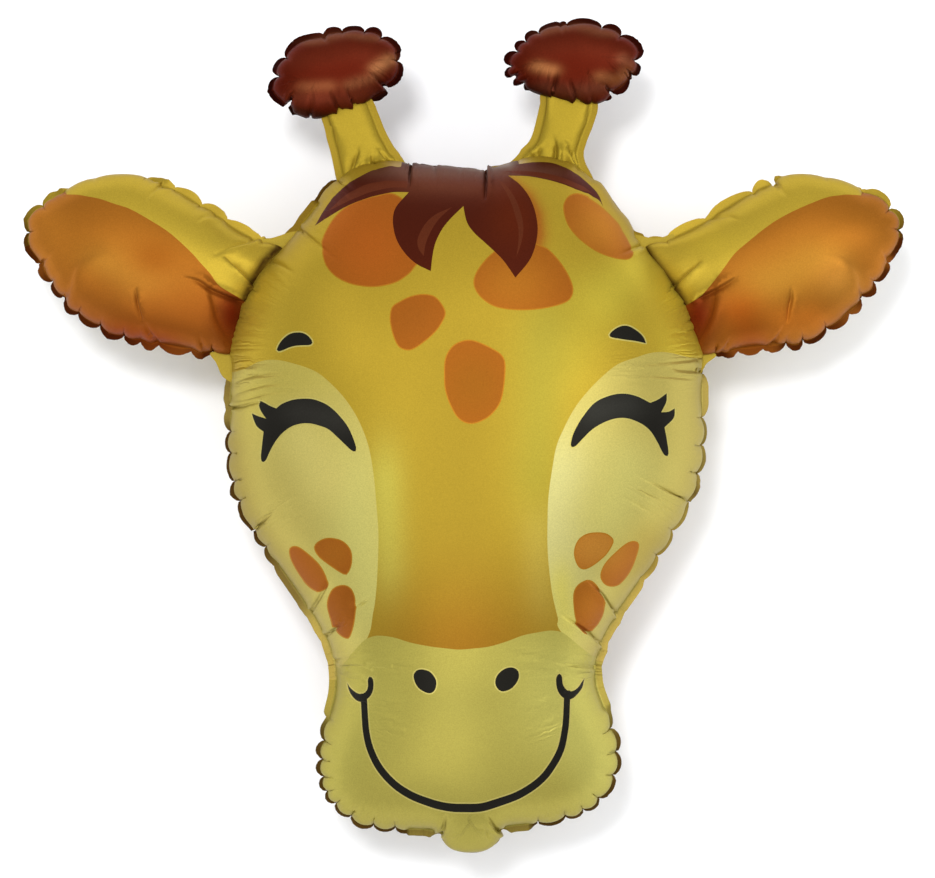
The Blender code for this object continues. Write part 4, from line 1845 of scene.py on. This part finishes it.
FACE: tuple[Artwork, ...] = (
    # Cheeks
    Artwork(Ink.CHEEK, (
        (190, 390), (240, 372), (260, 362), (277, 360), (296, 364), (317, 372), (334, 386), (348, 402),
        (360, 422), (369, 446), (374, 474), (377, 505), (379, 536), (378, 574), (376, 600), (374, 612),
        (369, 636), (350, 662), (330, 700), (180, 640),
    ), corners=(0, 18, 19)),
    Artwork(Ink.CHEEK, (
        (740, 375), (698, 361), (685, 357), (668, 353), (651, 353), (634, 358), (616, 365), (599, 379),
        (584, 395), (573, 410), (563, 429), (556, 446), (552, 467), (548, 496), (547, 522), (547, 548),
        (549, 574), (552, 596), (557, 618), (560, 631), (600, 680), (740, 640),
    ), corners=(0, 20, 21)),
    # Muzzle
    Artwork(Ink.MUZZLE, (
        (325, 690), (345, 663), (355, 651), (365, 640), (373, 636), (381, 635), (395, 637), (411, 642),
        (431, 646), (448, 648), (459, 649), (473, 648), (489, 646), (506, 641), (522, 635), (536, 632),
        (549, 630), (559, 631), (566, 635), (579, 646), (594, 658), (620, 685), (680, 900), (250, 900),
    ), corners=(0, 21, 22, 23)),
    # Spots on the forehead
    *spot(
        (324, 243), (330, 228), (340, 215), (355, 205), (375, 199), (395, 197), (415, 215), (425, 250),
        (414, 268), (408, 275), (395, 283), (375, 287), (355, 285), (340, 279), (330, 270), (325, 259),
    ),
    *spot(
        (391, 318), (393, 308), (400, 303), (410, 298), (422, 295.5), (433, 297), (440, 303), (445, 313),
        (442, 322), (435, 332), (425, 341), (415, 348), (408, 350), (400, 347), (395, 338), (392, 327),
    ),
    *spot(
        (445, 376), (446, 359), (453, 347), (464, 341.5), (475, 342), (491, 349), (502, 357),
        (504.5, 370), (501, 398), (492, 413), (480, 421), (469, 423), (459, 418), (451, 405), (446, 390),
    ),
    *spot(
        (494, 253.6), (483, 264.4), (475.7, 276), (474.5, 286), (479.8, 296), (491.4, 305), (506, 309),
        (526, 310), (547.8, 307.5), (566, 301.7), (571.8, 292.6), (569.4, 281), (561, 266),
        (549.5, 252.8), (541, 247.8), (515, 240),
    ),
    *spot(
        (563, 210), (566, 201), (573, 197), (582, 199), (590, 204), (602, 212), (612, 222), (622, 235),
        (629, 247), (631, 256), (626, 260), (615, 259), (600, 254), (588, 247), (576, 237), (567, 225),
    ),
    # Spots on the cheeks
    *spot(
        (316, 546), (322, 540), (331, 538), (343, 541), (351, 550), (352, 562), (349, 571), (345, 573),
        (331, 564), (320, 555),
    ),
    *spot(
        (291, 550), (294, 546), (302, 548), (319, 563), (327, 577), (328, 586), (321, 590), (313, 587),
        (303, 576), (294, 561),
    ),
    *spot(
        (329, 602), (334, 589), (344, 585), (352, 589), (356, 601), (355, 620), (351, 635), (347, 637),
        (339, 631), (332, 617),
    ),
    *spot(
        (574, 552), (578, 540), (588, 533.5), (603, 533), (611, 538), (611, 543), (604, 554), (592, 564),
        (583, 568), (577, 564),
    ),
    *spot(
        (637, 546), (634, 541), (626, 543), (614, 553), (604, 564), (600, 575), (604, 583), (612, 585),
        (620, 581), (630, 567),
    ),
    *spot(
        (573, 600), (575, 588), (583, 581), (591, 581), (599, 591), (602, 605), (600, 616), (592, 628),
        (583, 632), (576, 622),
    ),
    # Hair, and its lighter strands
    Artwork(Ink.HAIR, (
        (316, 227), (325, 213), (335, 200), (348, 188), (362, 179), (375, 172.5), (390, 169.5),
        (403, 169), (412, 140), (490, 140), (494, 169), (507, 170), (521, 167.5), (535, 165), (550, 165),
        (562, 169), (575, 177), (587, 188), (595, 197), (601, 209), (597, 204), (588, 199), (575, 193),
        (560, 187), (545, 183), (525, 180), (508, 180), (518, 186), (527, 196), (533, 208), (536.5, 222),
        (537, 235), (534, 250), (528, 263), (515, 278.5), (508, 268), (500, 258), (485, 244), (475, 235),
        (468, 226), (465, 217), (463.5, 208), (458, 213), (449, 222), (442, 231), (436, 243), (433, 255),
        (431, 272), (417, 265), (406, 255), (398, 243), (394, 230), (393.5, 218), (397, 208),
        (409, 194.5), (395, 194.5), (378, 197.5), (360, 203), (345, 209.5), (330, 218),
    ), corners=(0, 8, 9, 19, 26, 34, 41, 47, 54)),
    Artwork(Ink.HAIR_LIGHT, (
        (452, 209), (436, 216), (425, 226), (418, 240), (419, 250), (424, 257), (426, 245), (431, 233),
        (438, 222), (446, 214),
    ), corners=(0, 5)),
    Artwork(Ink.HAIR_LIGHT, (
        (496, 181.5), (506, 188), (514.6, 200), (521, 216), (523, 230), (521, 244), (516, 258),
        (518, 243), (518, 229.6), (514.6, 216.3), (509.7, 202), (503, 190),
    ), corners=(0, 6)),
    Artwork(Ink.HAIR_LIGHT, (
        (330, 212), (346, 198), (366, 188), (387, 184), (408, 184), (407, 190), (390, 190.5), (370, 195),
        (350, 203),
    ), corners=(0, 4, 5)),
    Artwork(Ink.HAIR_LIGHT, (
        (500, 176), (523, 175), (545, 177), (563, 182), (580, 190), (590, 198), (575, 192), (560, 186),
        (545, 182), (525, 179),
    ), corners=(0, 5)),
    *FACE_LINES,
)
LEFT_EAR_PRINT: tuple[Artwork, ...] = (
    Artwork(Ink.EAR, (
        (21, 262), (26, 246), (30, 228), (34, 216), (41, 209), (51, 203.5), (60, 200), (70, 197),
        (82, 197), (100, 200), (115, 205), (130, 210), (150, 221), (170, 234), (190, 252), (200, 263),
        (210, 274), (219, 286), (240, 299), (290, 330), (260, 400), (60, 400), (0, 300),
    ), corners=(0, 19, 20, 21, 22)),
)
RIGHT_EAR_PRINT: tuple[Artwork, ...] = (
    Artwork(Ink.EAR, (
        (909, 262), (903, 246), (898, 229), (893, 218), (885, 210), (874, 202.5), (860, 197.5),
        (840, 197), (825, 199), (800, 209), (780, 219), (765, 229), (750, 241), (735, 254), (723, 270),
        (713, 283), (707, 291), (697, 299), (660, 320), (680, 400), (860, 400), (930, 300),
    ), corners=(0, 18, 19, 20, 21)),
)

# Where an ink changes softly: partly gradients of the print, partly painted highlights, sheen and shade
INK_SHADES_AND_PAINTED_LIGHT: dict[Ink, tuple[Shade, ...]] = {
    Ink.YELLOW: (
        # Painted light: the far left and right of the forehead lighter, where the lamps leave the curve dark
        Shade((0.54, 0.38, 0.038), ((250, 290), (246, 340)), (34, 40)),
        Shade((0.6, 0.455, 0.043), ((684, 290), (692, 345)), (36, 42)),
        Shade((0.49, 0.33, 0.031), ((338, 300), (350, 345)), (30, 30)),
        Shade((0.42, 0.315, 0.03), ((585, 310), (560, 350)), (40, 40)),
        Shade((0.347, 0.235, 0.022), ((463, 380), (463, 560)), (60, 62)),
        Shade((0.5, 0.42, 0.065), ((384, 488), (388, 565)), (20, 45)),
        Shade((0.48, 0.36, 0.055), ((541, 535), (542, 590)), (20, 40)),
        Shade((0.53, 0.41, 0.042), ((606, 296), (642, 264)), (27, 27)),
        Shade((0.36, 0.285, 0.032), ((545, 335), (537, 470)), (28, 50)),
        Shade((0.292, 0.136, 0.012), ((463, 655),), (105, 85)),
        # Painted highlights where the yellow strip along the top of the head fades out at its ends
        Shade((0.46, 0.31, 0.11), ((394, 164), (404, 166)), (8, 7)),
        Shade((0.52, 0.38, 0.17), ((502, 166), (518, 163)), (9, 7)),
        Shade((0.374, 0.116, 0.014), ((512, 186), (527, 198), (536, 215), (538, 235), (533, 256)), (9, 9)),
    ),
    Ink.HAIR: (
        # Painted highlight and sheen along the top of the hair
        Shade((0.42, 0.36, 0.32), ((499, 166), (507, 165)), (6, 4)),
        Shade((0.115, 0.028, 0.012), ((425, 184), (480, 184)), (34, 13)),
        Shade((0.135, 0.05, 0.031), ((395, 172), (525, 172)), (50, 7)),
        Shade((0.11, 0.017, 0.005), ((512, 215),), (26, 34)),
    ),
    Ink.CHEEK: (
        Shade((0.57, 0.51, 0.14), ((352, 490), (368, 590)), (34, 60)),
        Shade((0.56, 0.51, 0.19), ((560, 480), (554, 590)), (40, 60)),
        Shade((0.5, 0.41, 0.085), ((300, 372), (262, 400)), (45, 34)),
        Shade((0.6, 0.53, 0.145), ((628, 470), (610, 515)), (36, 36)),
        Shade((0.6, 0.51, 0.14), ((300, 438), (324, 478)), (28, 28)),
        Shade((0.44, 0.34, 0.075), ((650, 545), (640, 560)), (24, 24)),
        Shade((0.62, 0.54, 0.12), ((561, 590), (566, 622)), (16, 30)),
        Shade((0.4, 0.31, 0.068), ((230, 450), (244, 520), (290, 600)), (16, 24)),
    ),
    Ink.MUZZLE: (
        # Painted light and shade: the muzzle's sides and lower part lighter and its middle darker, against
        # how the lamps fall on its curve
        Shade((0.52, 0.47, 0.11), ((560, 690), (592, 765)), (48, 60)),
        Shade((0.46, 0.4, 0.082), ((375, 690), (345, 765)), (32, 50)),
        Shade((0.355, 0.305, 0.062), ((463, 700),), (45, 30)),
        Shade((0.425, 0.36, 0.072), ((385, 795), (463, 785), (545, 795)), (40, 34)),
    ),
    Ink.ORANGE: (
        Shade((0.5, 0.21, 0.03), ((594, 547),), (40, 30)),
        Shade((0.4, 0.135, 0.013), ((588, 605),), (20, 24)),
        Shade((0.39, 0.135, 0.013), ((515, 280),), (40, 35)),
        Shade((0.46, 0.17, 0.019), ((600, 228),), (34, 34)),
        Shade((0.29, 0.098, 0.009), ((475, 385),), (40, 40)),
        Shade((0.43, 0.107, 0.012), ((368, 240),), (50, 50)),
        Shade((0.31, 0.092, 0.01), ((415, 322),), (30, 30)),
        Shade((0.38, 0.125, 0.013), ((334, 554),), (20, 20)),
        Shade((0.3, 0.088, 0.008), ((343, 612),), (24, 24)),
    ),
    Ink.BLACK: (
        # Painted highlight: the black eyes a little lighter in their middles
        Shade((0.03, 0.028, 0.023), ((300, 412), (334, 420)), (24, 16)),
        Shade((0.03, 0.029, 0.024), ((600, 411), (626, 406)), (24, 16)),
    ),
    Ink.BROWN: (
        Shade((0.122, 0.016, 0.006), ((300, 60), (345, 50), (385, 54)), (20, 12)),
        Shade((0.122, 0.016, 0.006), ((540, 48), (575, 42), (615, 52)), (20, 12)),
        Shade((0.14, 0.024, 0.01), ((300, 98), (345, 100), (370, 93)), (14, 8)),
        Shade((0.13, 0.03, 0.014), ((545, 88), (573, 93), (600, 88)), (14, 8)),
        # Painted highlights and sheen on the horn bulbs
        Shade((0.205, 0.055, 0.02), ((306, 87), (328, 86)), (10, 6)),
        Shade((0.17, 0.048, 0.018), ((350, 85), (372, 78)), (8, 6)),
        Shade((0.31, 0.115, 0.042), ((377, 68), (389, 60)), (8, 6)),
        Shade((0.32, 0.115, 0.038), ((539, 67), (551, 70)), (9, 6)),
        Shade((0.2, 0.055, 0.024), ((623, 59), (628, 64)), (7, 6)),
        Shade((0.21, 0.065, 0.022), ((601, 77), (617, 80), (626, 73)), (8, 6)),
        Shade((0.15, 0.04, 0.016), ((310, 42), (340, 34), (372, 38)), (16, 4)),
        Shade((0.15, 0.04, 0.016), ((540, 32), (575, 25), (608, 34)), (16, 4)),
        # Painted shade along the bulbs' lower edges
        Shade((0.045, 0.01, 0.004), ((290, 110), (330, 118), (360, 112), (376, 103), (390, 92)), (10, 5)),
        Shade((0.045, 0.01, 0.004), ((522, 88), (556, 100), (590, 106)), (10, 5)),
    ),
    Ink.EAR_YELLOW: (
        Shade((0.54, 0.38, 0.036), ((704, 240),), (30, 16)),
        Shade((0.365, 0.255, 0.023), ((350, 110), (365, 165)), (50, 25)),
        Shade((0.355, 0.25, 0.022), ((570, 110), (555, 165)), (50, 25)),
        # Painted shade: a thin dark line in the valley where each ear tucks in under the head's edge
        Shade((0.05, 0.02, 0.004), ((286, 241), (264, 262), (252, 283), (244, 302)), (5, 5)),
        Shade((0.05, 0.02, 0.004), ((642, 245), (658, 267), (674, 287), (688, 310)), (5, 5)),
    ),
    Ink.EAR: (
        # Painted highlight where the left ear's lower half catches the light
        Shade((0.46, 0.205, 0.025), ((105, 272), (135, 284)), (38, 24)),
        Shade((0.46, 0.165, 0.018), ((48, 226), (58, 268), (96, 294)), (22, 22)),
        Shade((0.31, 0.098, 0.009), ((156, 256),), (26, 20)),
        # Painted highlight on the right ear
        Shade((0.385, 0.17, 0.019), ((815, 262), (775, 280)), (38, 24)),
        Shade((0.313, 0.088, 0.01), ((190, 330), (90, 330)), (80, 50)),
        # Painted highlight further out on the right ear
        Shade((0.54, 0.225, 0.031), ((840, 279),), (22, 20)),
        Shade((0.49, 0.175, 0.02), ((876, 256),), (18, 24)),
        Shade((0.5, 0.155, 0.016), ((785, 320), (808, 318)), (22, 14)),
        Shade((0.33, 0.082, 0.007), ((741, 314), (750, 336)), (24, 20)),
        # Painted shade along the left ear's lower edge
        Shade((0.27, 0.055, 0.004), ((122, 332), (158, 340)), (24, 12)),
        # Dark red-brown at each ear's root: partly the print's darker ear base, partly painted shade where
        # the ear tucks in at the head
        Shade((0.135, 0.015, 0.003), ((232, 315),), (20, 34)),
        Shade((0.155, 0.018, 0.004), ((698, 315),), (22, 40)),
    ),
}

# The sharp folds that the picture shows, in its points
HEAD_CREASES: tuple[Crease, ...] = (
    Crease(((296, 226), (310, 238), (327, 252), (345, 266)), (1.4, 1, 0)),
    Crease(((270, 262), (284, 268), (296, 275)), (1, 0.6, 0)),
    Crease(((228, 408), (240, 407), (251, 404), (263, 401)), (2.4, 2.2, 0.6), True, 1.1),
    Crease(((232, 397), (250, 389), (272, 384), (298, 383)), (0.3, 1, 0), False, 1.2),
    Crease(((232, 385), (250, 377), (270, 373), (292, 372)), (0.3, 1, 0), False, 1.2),
    Crease(((240, 403), (262, 395), (284, 391), (304, 391)), (0.2, 0.8, 0), False, 1.2),
    Crease(((250, 532), (258, 526), (267, 518), (276, 509)), (2, 1.6, 0), True, 1.1),
    Crease(((309, 616), (315, 606), (322, 594), (332, 578)), (1.6, 2, 0), True, 1.1),
    Crease(((322, 640), (330, 632), (337, 627), (346, 619)), (2.2, 2, 0), True, 1.1),
    Crease(((354, 609), (363, 603), (373, 597)), (0, 1.5, 0), False, 1.1),
    Crease(((333, 659), (350, 658), (370, 656), (388, 652)), (0.9, 0.6, 0)),
    Crease(((703, 373), (694, 371), (680, 370), (664, 366)), (1.9, 1, 0)),
    Crease(((694, 360), (672, 362), (650, 364), (628, 367)), (0.3, 0.9, 0), False, 1.2),
    Crease(((690, 379), (668, 377), (646, 376), (628, 377)), (0.3, 0.8, 0), False, 1.2),
    Crease(((692, 505), (682, 499), (660, 487), (632, 473)), (2, 1.6, 0), True, 1.1),
    Crease(((660, 500), (648, 494), (634, 486)), (0, 1, 0), False, 1.2),
    Crease(((652, 512), (638, 505), (622, 496)), (0, 0.9, 0), False, 1.2),
    Crease(((618, 620), (610, 606), (600, 592), (584, 578)), (2.4, 2.4, 0), True, 1.1),
    Crease(((604, 648), (592, 636), (577, 625), (556, 611)), (2.4, 2.4, 0), True, 1.1),
    Crease(((602, 667), (585, 666), (566, 664), (548, 661)), (0.9, 0.6, 0)),
    Crease(((486, 160), (486, 172), (486, 186), (485, 201)), (4, 3.4, 0.6), True, 1),
    Crease(((412, 158), (411.5, 168), (410.5, 178), (410, 187)), (4, 3, 0.4), True, 0.9),
    Crease(((435, 160), (435, 172), (434, 184)), (1, 0.8, 0)),
    Crease(((460, 160), (460, 172), (460, 186)), (0.6, 0.4, 0)),
    Crease(((663, 240), (650, 243), (632, 250), (612, 259)), (1.6, 1.1, 0)),
    Crease(((439, 834), (443, 826), (445, 818), (446, 811)), (2.8, 2, 0), True, 1.3),
    Crease(((502, 831), (495, 825), (489, 818), (485, 810)), (2.8, 2, 0), True, 1.3),
    Crease(((488, 836), (486, 829), (484, 822)), (0, 1.2, 0), False, 1.1),
)
LEFT_EAR_CREASES: tuple[Crease, ...] = (
    Crease(((180, 180), (173, 188), (161, 189), (150, 196), (144, 205)), (1.8, 1.3, 0)),
    Crease(((224, 218), (214, 218), (204, 219), (194, 224)), (1, 0.6, 0)),
    Crease(((263, 234), (256, 240), (250, 248)), (1, 0.6, 0)),
    Crease(((182, 276), (198, 281), (210, 289), (226, 296), (240, 301)), (0, 2.6, 2.4), False, 1.3, 0.9),
    Crease(((222, 256), (231, 263), (242, 273), (254, 286)), (0, 2.6, 2.4), False, 1.3, -0.9),
    Crease(((136, 286), (137, 298), (139, 308), (142, 318)), (0, 2.2, 0.8), False, 1.2),
    Crease(((162, 354), (156, 340), (149, 329), (144, 318)), (2, 1.4, 0)),
    Crease(((212, 360), (205, 348), (201, 338), (199, 330)), (2, 1.3, 0)),
    Crease(((70, 302), (72, 287), (77, 269), (90, 258), (110, 253)), (0.7, 1.1, 0.1), False, 3.6, -1.3, 0.3),
    Crease(((209, 289), (212, 305), (217, 322), (227, 339)), (0.5, 1.2, 0.5), False, 2.2, -1.2, 0.4),
    Crease(((40, 268), (48, 258), (56, 250)), (1.6, 0.8, 0)),
    Crease(((255, 240), (246, 244), (232, 247), (215, 255)), (1.4, 1, 0.3)),
)
RIGHT_EAR_CREASES: tuple[Crease, ...] = (
    Crease(((750, 188), (756, 194), (762, 202)), (0.8, 0.4, 0)),
    Crease(((770, 176), (776, 186), (783, 193), (790, 199)), (1.8, 1.1, 0)),
    Crease(((703, 214), (714, 219), (728, 218), (745, 222)), (1.1, 0.7, 0)),
    Crease(((738, 276), (730, 282), (716, 290), (700, 298)), (0, 2.6, 2.4), False, 1.3, -0.9),
    Crease(((703, 260), (696, 266), (684, 277), (676, 286)), (0, 2.4, 2.4), False, 1.3, 0.9),
    Crease(((791, 287), (791, 298), (789, 308), (787, 320)), (0, 2.2, 0.8), False, 1.2),
    Crease(((764, 354), (771, 343), (778, 334), (785, 322)), (2, 1.4, 0)),
    Crease(((716, 358), (722, 348), (728, 340), (731, 333)), (2, 1.3, 0)),
    Crease(
        ((850, 316), (858, 296), (855, 274), (844, 259), (822, 253)), (0.7, 1.1, 0.1), False, 3.6, 1.3, 0.3,
    ),
    Crease(((716, 289), (714, 308), (708, 325), (699, 339)), (0.5, 1.2, 0.5), False, 2.2, 1.2, 0.4),
    Crease(((893, 262), (886, 258), (878, 248)), (1.6, 0.8, 0)),
)
LEFT_STALK_CREASES: tuple[Crease, ...] = (
    Crease(((321, 106), (327, 118), (332, 129), (338, 142)), (2, 1.4, 0)),
    Crease(((372, 104), (376, 116), (381, 128), (384, 140)), (1.8, 1.2, 0), False),
    Crease(((358, 152), (355, 162), (350, 178)), (0.6, 2.4, 2.4), False, 1.1, 1.1),
    Crease(((371, 156), (372, 163), (375, 171)), (0.6, 2.2, 2.2), False, 1.1, -1),
    Crease(((380, 153), (385, 159), (391, 167)), (0.6, 2.2, 2.2), False, 1.1, -1),
    Crease(((344, 184), (356, 172), (372, 165), (402, 162)), (1.2, 1.4, 1), False),
)
RIGHT_STALK_CREASES: tuple[Crease, ...] = (
    Crease(((546, 98), (545, 110), (543, 124)), (1.8, 1.3, 0), False),
    Crease(((592, 98), (589, 110), (586, 122)), (1.6, 1.1, 0), False),
    Crease(((556, 142), (557, 150), (556, 160)), (0.6, 2.4, 2.2), False, 1.1, 1.1),
    Crease(((568, 146), (571, 154), (575, 164)), (0.6, 2.2, 2.2), False, 1.1, -1),
    Crease(((541, 148), (537, 154), (530, 160)), (0.6, 2, 2), False, 1.1, -1),
)
LEFT_BULB_CREASES: tuple[Crease, ...] = (
    Crease(((343, 118), (338, 109), (334, 100), (330, 90)), (3.2, 2.2, 0), True, 1.2),
    Crease(((359, 112), (353, 103), (349, 94), (347, 86)), (2.8, 1.8, 0), True, 1.2),
    Crease(((390, 92), (381, 84), (374, 76), (368, 70)), (3, 1.9, 0), True, 1.2),
    Crease(((287, 106), (291, 98), (295, 90)), (3, 1.9, 0), True, 1.2),
    Crease(((322, 30), (325, 38), (328, 46)), (1.6, 0.8, 0)),
    Crease(((400, 56), (392, 54), (384, 54)), (1.6, 0.8, 0)),
    Crease(((366, 72), (372, 84)), (0, 0.7, 0), False),
    Crease(((361, 74), (366, 86)), (0, 0.7, 0), False),
    Crease(((356, 76), (360, 88)), (0, 0.7, 0), False),
)
RIGHT_BULB_CREASES: tuple[Crease, ...] = (
    Crease(((578, 106), (575, 97), (572, 88), (570, 78)), (3.2, 2.1, 0), True, 1.2),
    Crease(((614, 98), (608, 90), (602, 82)), (3, 2, 0), True, 1.2),
    Crease(((636, 80), (628, 72), (620, 64)), (3, 2, 0), True, 1.2),
    Crease(((552, 92), (555, 82), (557, 72)), (2.6, 1.6, 0), True, 1.2),
    Crease(((512, 78), (520, 74), (528, 69)), (2, 1, 0)),
    Crease(((560, 22), (562, 30), (563, 38)), (1.4, 0.7, 0)),
)

# Where the foil puckers finely, and where the seal takes a painted reflection tint
HEAD_PUCKERS: tuple[Patch, ...] = (
    Patch(2, ((382, 708), (384, 728)), (17, 14)),
    Patch(1.5, ((548, 704), (546, 728)), (17, 14)),
    Patch(2.6, ((350, 672), (385, 662)), (22, 12)),
    Patch(2.6, ((582, 668), (548, 660)), (22, 12)),
    Patch(0.9, ((250, 292), (236, 330)), (30, 22)),
    Patch(1.5, ((236, 372), (262, 378), (292, 380)), (26, 18)),
    Patch(0.9, ((690, 300), (696, 340)), (26, 22)),
    Patch(1.2, ((694, 368), (665, 368), (640, 372)), (24, 18)),
    Patch(0.7, ((420, 172), (505, 172)), (12, 16)),
    Patch(0.7, ((336, 200), (310, 235)), (18, 18)),
    Patch(0.9, ((338, 622), (336, 660), (350, 690)), (20, 18)),
    Patch(1.5, ((262, 524), (290, 506)), (20, 16)),
    Patch(1.7, ((668, 514), (642, 494)), (18, 15)),
    Patch(0.9, ((598, 622), (598, 660), (586, 690)), (20, 18)),
    Patch(0.8, ((350, 812), (440, 830), (590, 812)), (16, 12)),
)
BULB_PUCKERS: tuple[Patch, ...] = (
    Patch(1, ((296, 88), (378, 74)), (16, 12)),
    Patch(1, ((532, 74), (612, 72)), (16, 12)),
)
# Painted reflection on the smooth seal of the waist and the head's right side
WAIST_SEAL_REFLECTION: tuple[Patch, ...] = (
    Patch(0.95, ((318, 628), (334, 650), (334, 700)), (14, 26)),
    Patch(0.95, ((616, 620), (600, 650), (600, 700)), (14, 26)),
    Patch(0.55, ((706, 385), (704, 480)), (12, 16)),
    Patch(0.95, ((684, 515), (655, 565), (630, 600)), (18, 18)),
)
# Painted reflection tint on the stalks' seal
STALK_SEAL_REFLECTION: tuple[Patch, ...] = (Patch(0.85, ((355, 140), (565, 140)), (90, 90)),)

# Notches of the seam where no crease starts, in picture points
HEAD_PINCHES: Points = (
    (701, 418), (701, 445), (672, 530), (659, 556), (617, 752), (614, 775), (599, 798), (584, 810),
    (566, 818), (539, 823), (413, 829), (395, 827), (374, 823), (352, 814), (336, 803), (326, 792),
    (320, 777), (319, 759), (322, 740), (328, 718), (274, 566), (264, 548), (237, 502), (232, 482),
    (228, 454), (231, 432), (298, 231), (314, 207),
)
LEFT_EAR_PINCHES: Points = (
    (191, 351), (159, 345), (140, 343), (123, 340), (98, 329), (79, 313), (63, 299), (52, 282), (41, 262),
    (26, 233), (40, 203), (69, 188), (226, 221),
)
RIGHT_EAR_PINCHES: Points = (
    (702, 220), (750, 191), (863, 189), (893, 206), (903, 230), (887, 262), (877, 283), (864, 300),
    (849, 314), (827, 329), (803, 341), (786, 344), (768, 346), (738, 351),
)
LEFT_BULB_PINCHES: Points = (
    (275, 76), (286, 58), (319, 38), (342, 30), (364, 32), (382, 37), (404, 60),
)
RIGHT_BULB_PINCHES: Points = (
    (602, 25), (622, 34), (629, 60), (629, 79), (610, 93), (524, 84), (510, 66), (513, 48), (524, 38),
    (538, 30), (567, 23), (591, 99),
)


def chambers() -> tuple[Chamber, ...]:
    """The balloon's blown chambers.

    Returns:
        Them all, the head first.
    """
    fine = {"seam_step": 1.6 * MM, "fill_step": 2.0 * MM}
    # the ears' upper seal keeps little painted shade, as it faces the light
    ear = {"gain": 0.35, "scallop": 0.7, "upper_seal_shade": 0.15, "seal": 8.0 * MM}
    stalk = {
        "gain": 0.0, "lobed": 0.0, "puff": 0.19, "grow": 0.0, "rim": 3.4 * MM, "seal": 6.5 * MM,
        # the stalks' seal takes a painted reflection tint
        "seal_reflection_patches": STALK_SEAL_REFLECTION, "seal_reflection_tint": (0.80, 0.78, 0.80), **fine,
    }
    bulb = {
        "gain": 0.9, "calm_top": 0.7, "grow": 0.6 * MM, "seal": 7.6 * MM, "puckers": BULB_PUCKERS, **fine,
    }
    return (
        Chamber(
            "head_foil", HEAD_SEAM, Ink.YELLOW, 30.0 * MM, 11, FACE, HEAD_CREASES,
            pinches=HEAD_PINCHES, puckers=HEAD_PUCKERS, gain=0.22, seal=6.8 * MM,
            # the waist's seal takes a painted reflection tint
            seal_reflection_patches=WAIST_SEAL_REFLECTION, seal_reflection_tint=(0.84, 0.74, 0.62),
            tucks=(
                Tuck((334, 120), (600, 188)), Tuck((588, 145), (662, 238), 3.5 * MM),
                Tuck((434, 800), (508, 868), flat=0.98),
            ),
        ),
        Chamber(
            "left_ear_foil", LEFT_EAR_SEAM, Ink.EAR_YELLOW, 34.0 * MM, 12, LEFT_EAR_PRINT,
            LEFT_EAR_CREASES, pinches=LEFT_EAR_PINCHES,
            tucks=(Tuck((62, 155), (154, 204), 3.5 * MM),), **ear,
        ),
        Chamber(
            "right_ear_foil", RIGHT_EAR_SEAM, Ink.EAR_YELLOW, 34.0 * MM, 13, RIGHT_EAR_PRINT,
            RIGHT_EAR_CREASES, pinches=RIGHT_EAR_PINCHES,
            tucks=(Tuck((776, 155), (864, 204), 3.5 * MM),), **ear,
        ),
        Chamber(
            "left_stalk_foil", LEFT_STALK_SEAM, Ink.EAR_YELLOW, 19.0 * MM, 14,
            creases=LEFT_STALK_CREASES, **stalk,
        ),
        Chamber(
            "right_stalk_foil", RIGHT_STALK_SEAM, Ink.EAR_YELLOW, 19.0 * MM, 15,
            creases=RIGHT_STALK_CREASES, **stalk,
        ),
        Chamber(
            "left_bulb_foil", LEFT_BULB_SEAM, Ink.BROWN, 26.0 * MM, 16, creases=LEFT_BULB_CREASES,
            pinches=LEFT_BULB_PINCHES, tucks=(Tuck((290, 94), (392, 134), 2.6 * MM, 0.25),), **bulb,
        ),
        Chamber(
            "right_bulb_foil", RIGHT_BULB_SEAM, Ink.BROWN, 26.0 * MM, 17, creases=RIGHT_BULB_CREASES,
            pinches=RIGHT_BULB_PINCHES, tucks=(Tuck((522, 72), (612, 118), 2.6 * MM, 0.25),), **bulb,
        ),
    )


def main() -> None:
    """Builds and dresses the balloon, its floor, lights and camera."""
    logging.basicConfig(level=logging.INFO, format="%(name)s: %(message)s")
    bm = bmesh.new()
    bm.from_mesh(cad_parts[FOIL_NODE].data)
    solid = BVHTree.FromBMesh(bm)
    bm.free()
    finish = FoilFinish().material()
    for chamber in chambers():
        chamber.make(solid, finish)
    for web in WEBS:
        web.make(finish)
    Studio().build()


if __name__ == "__main__":
    main()
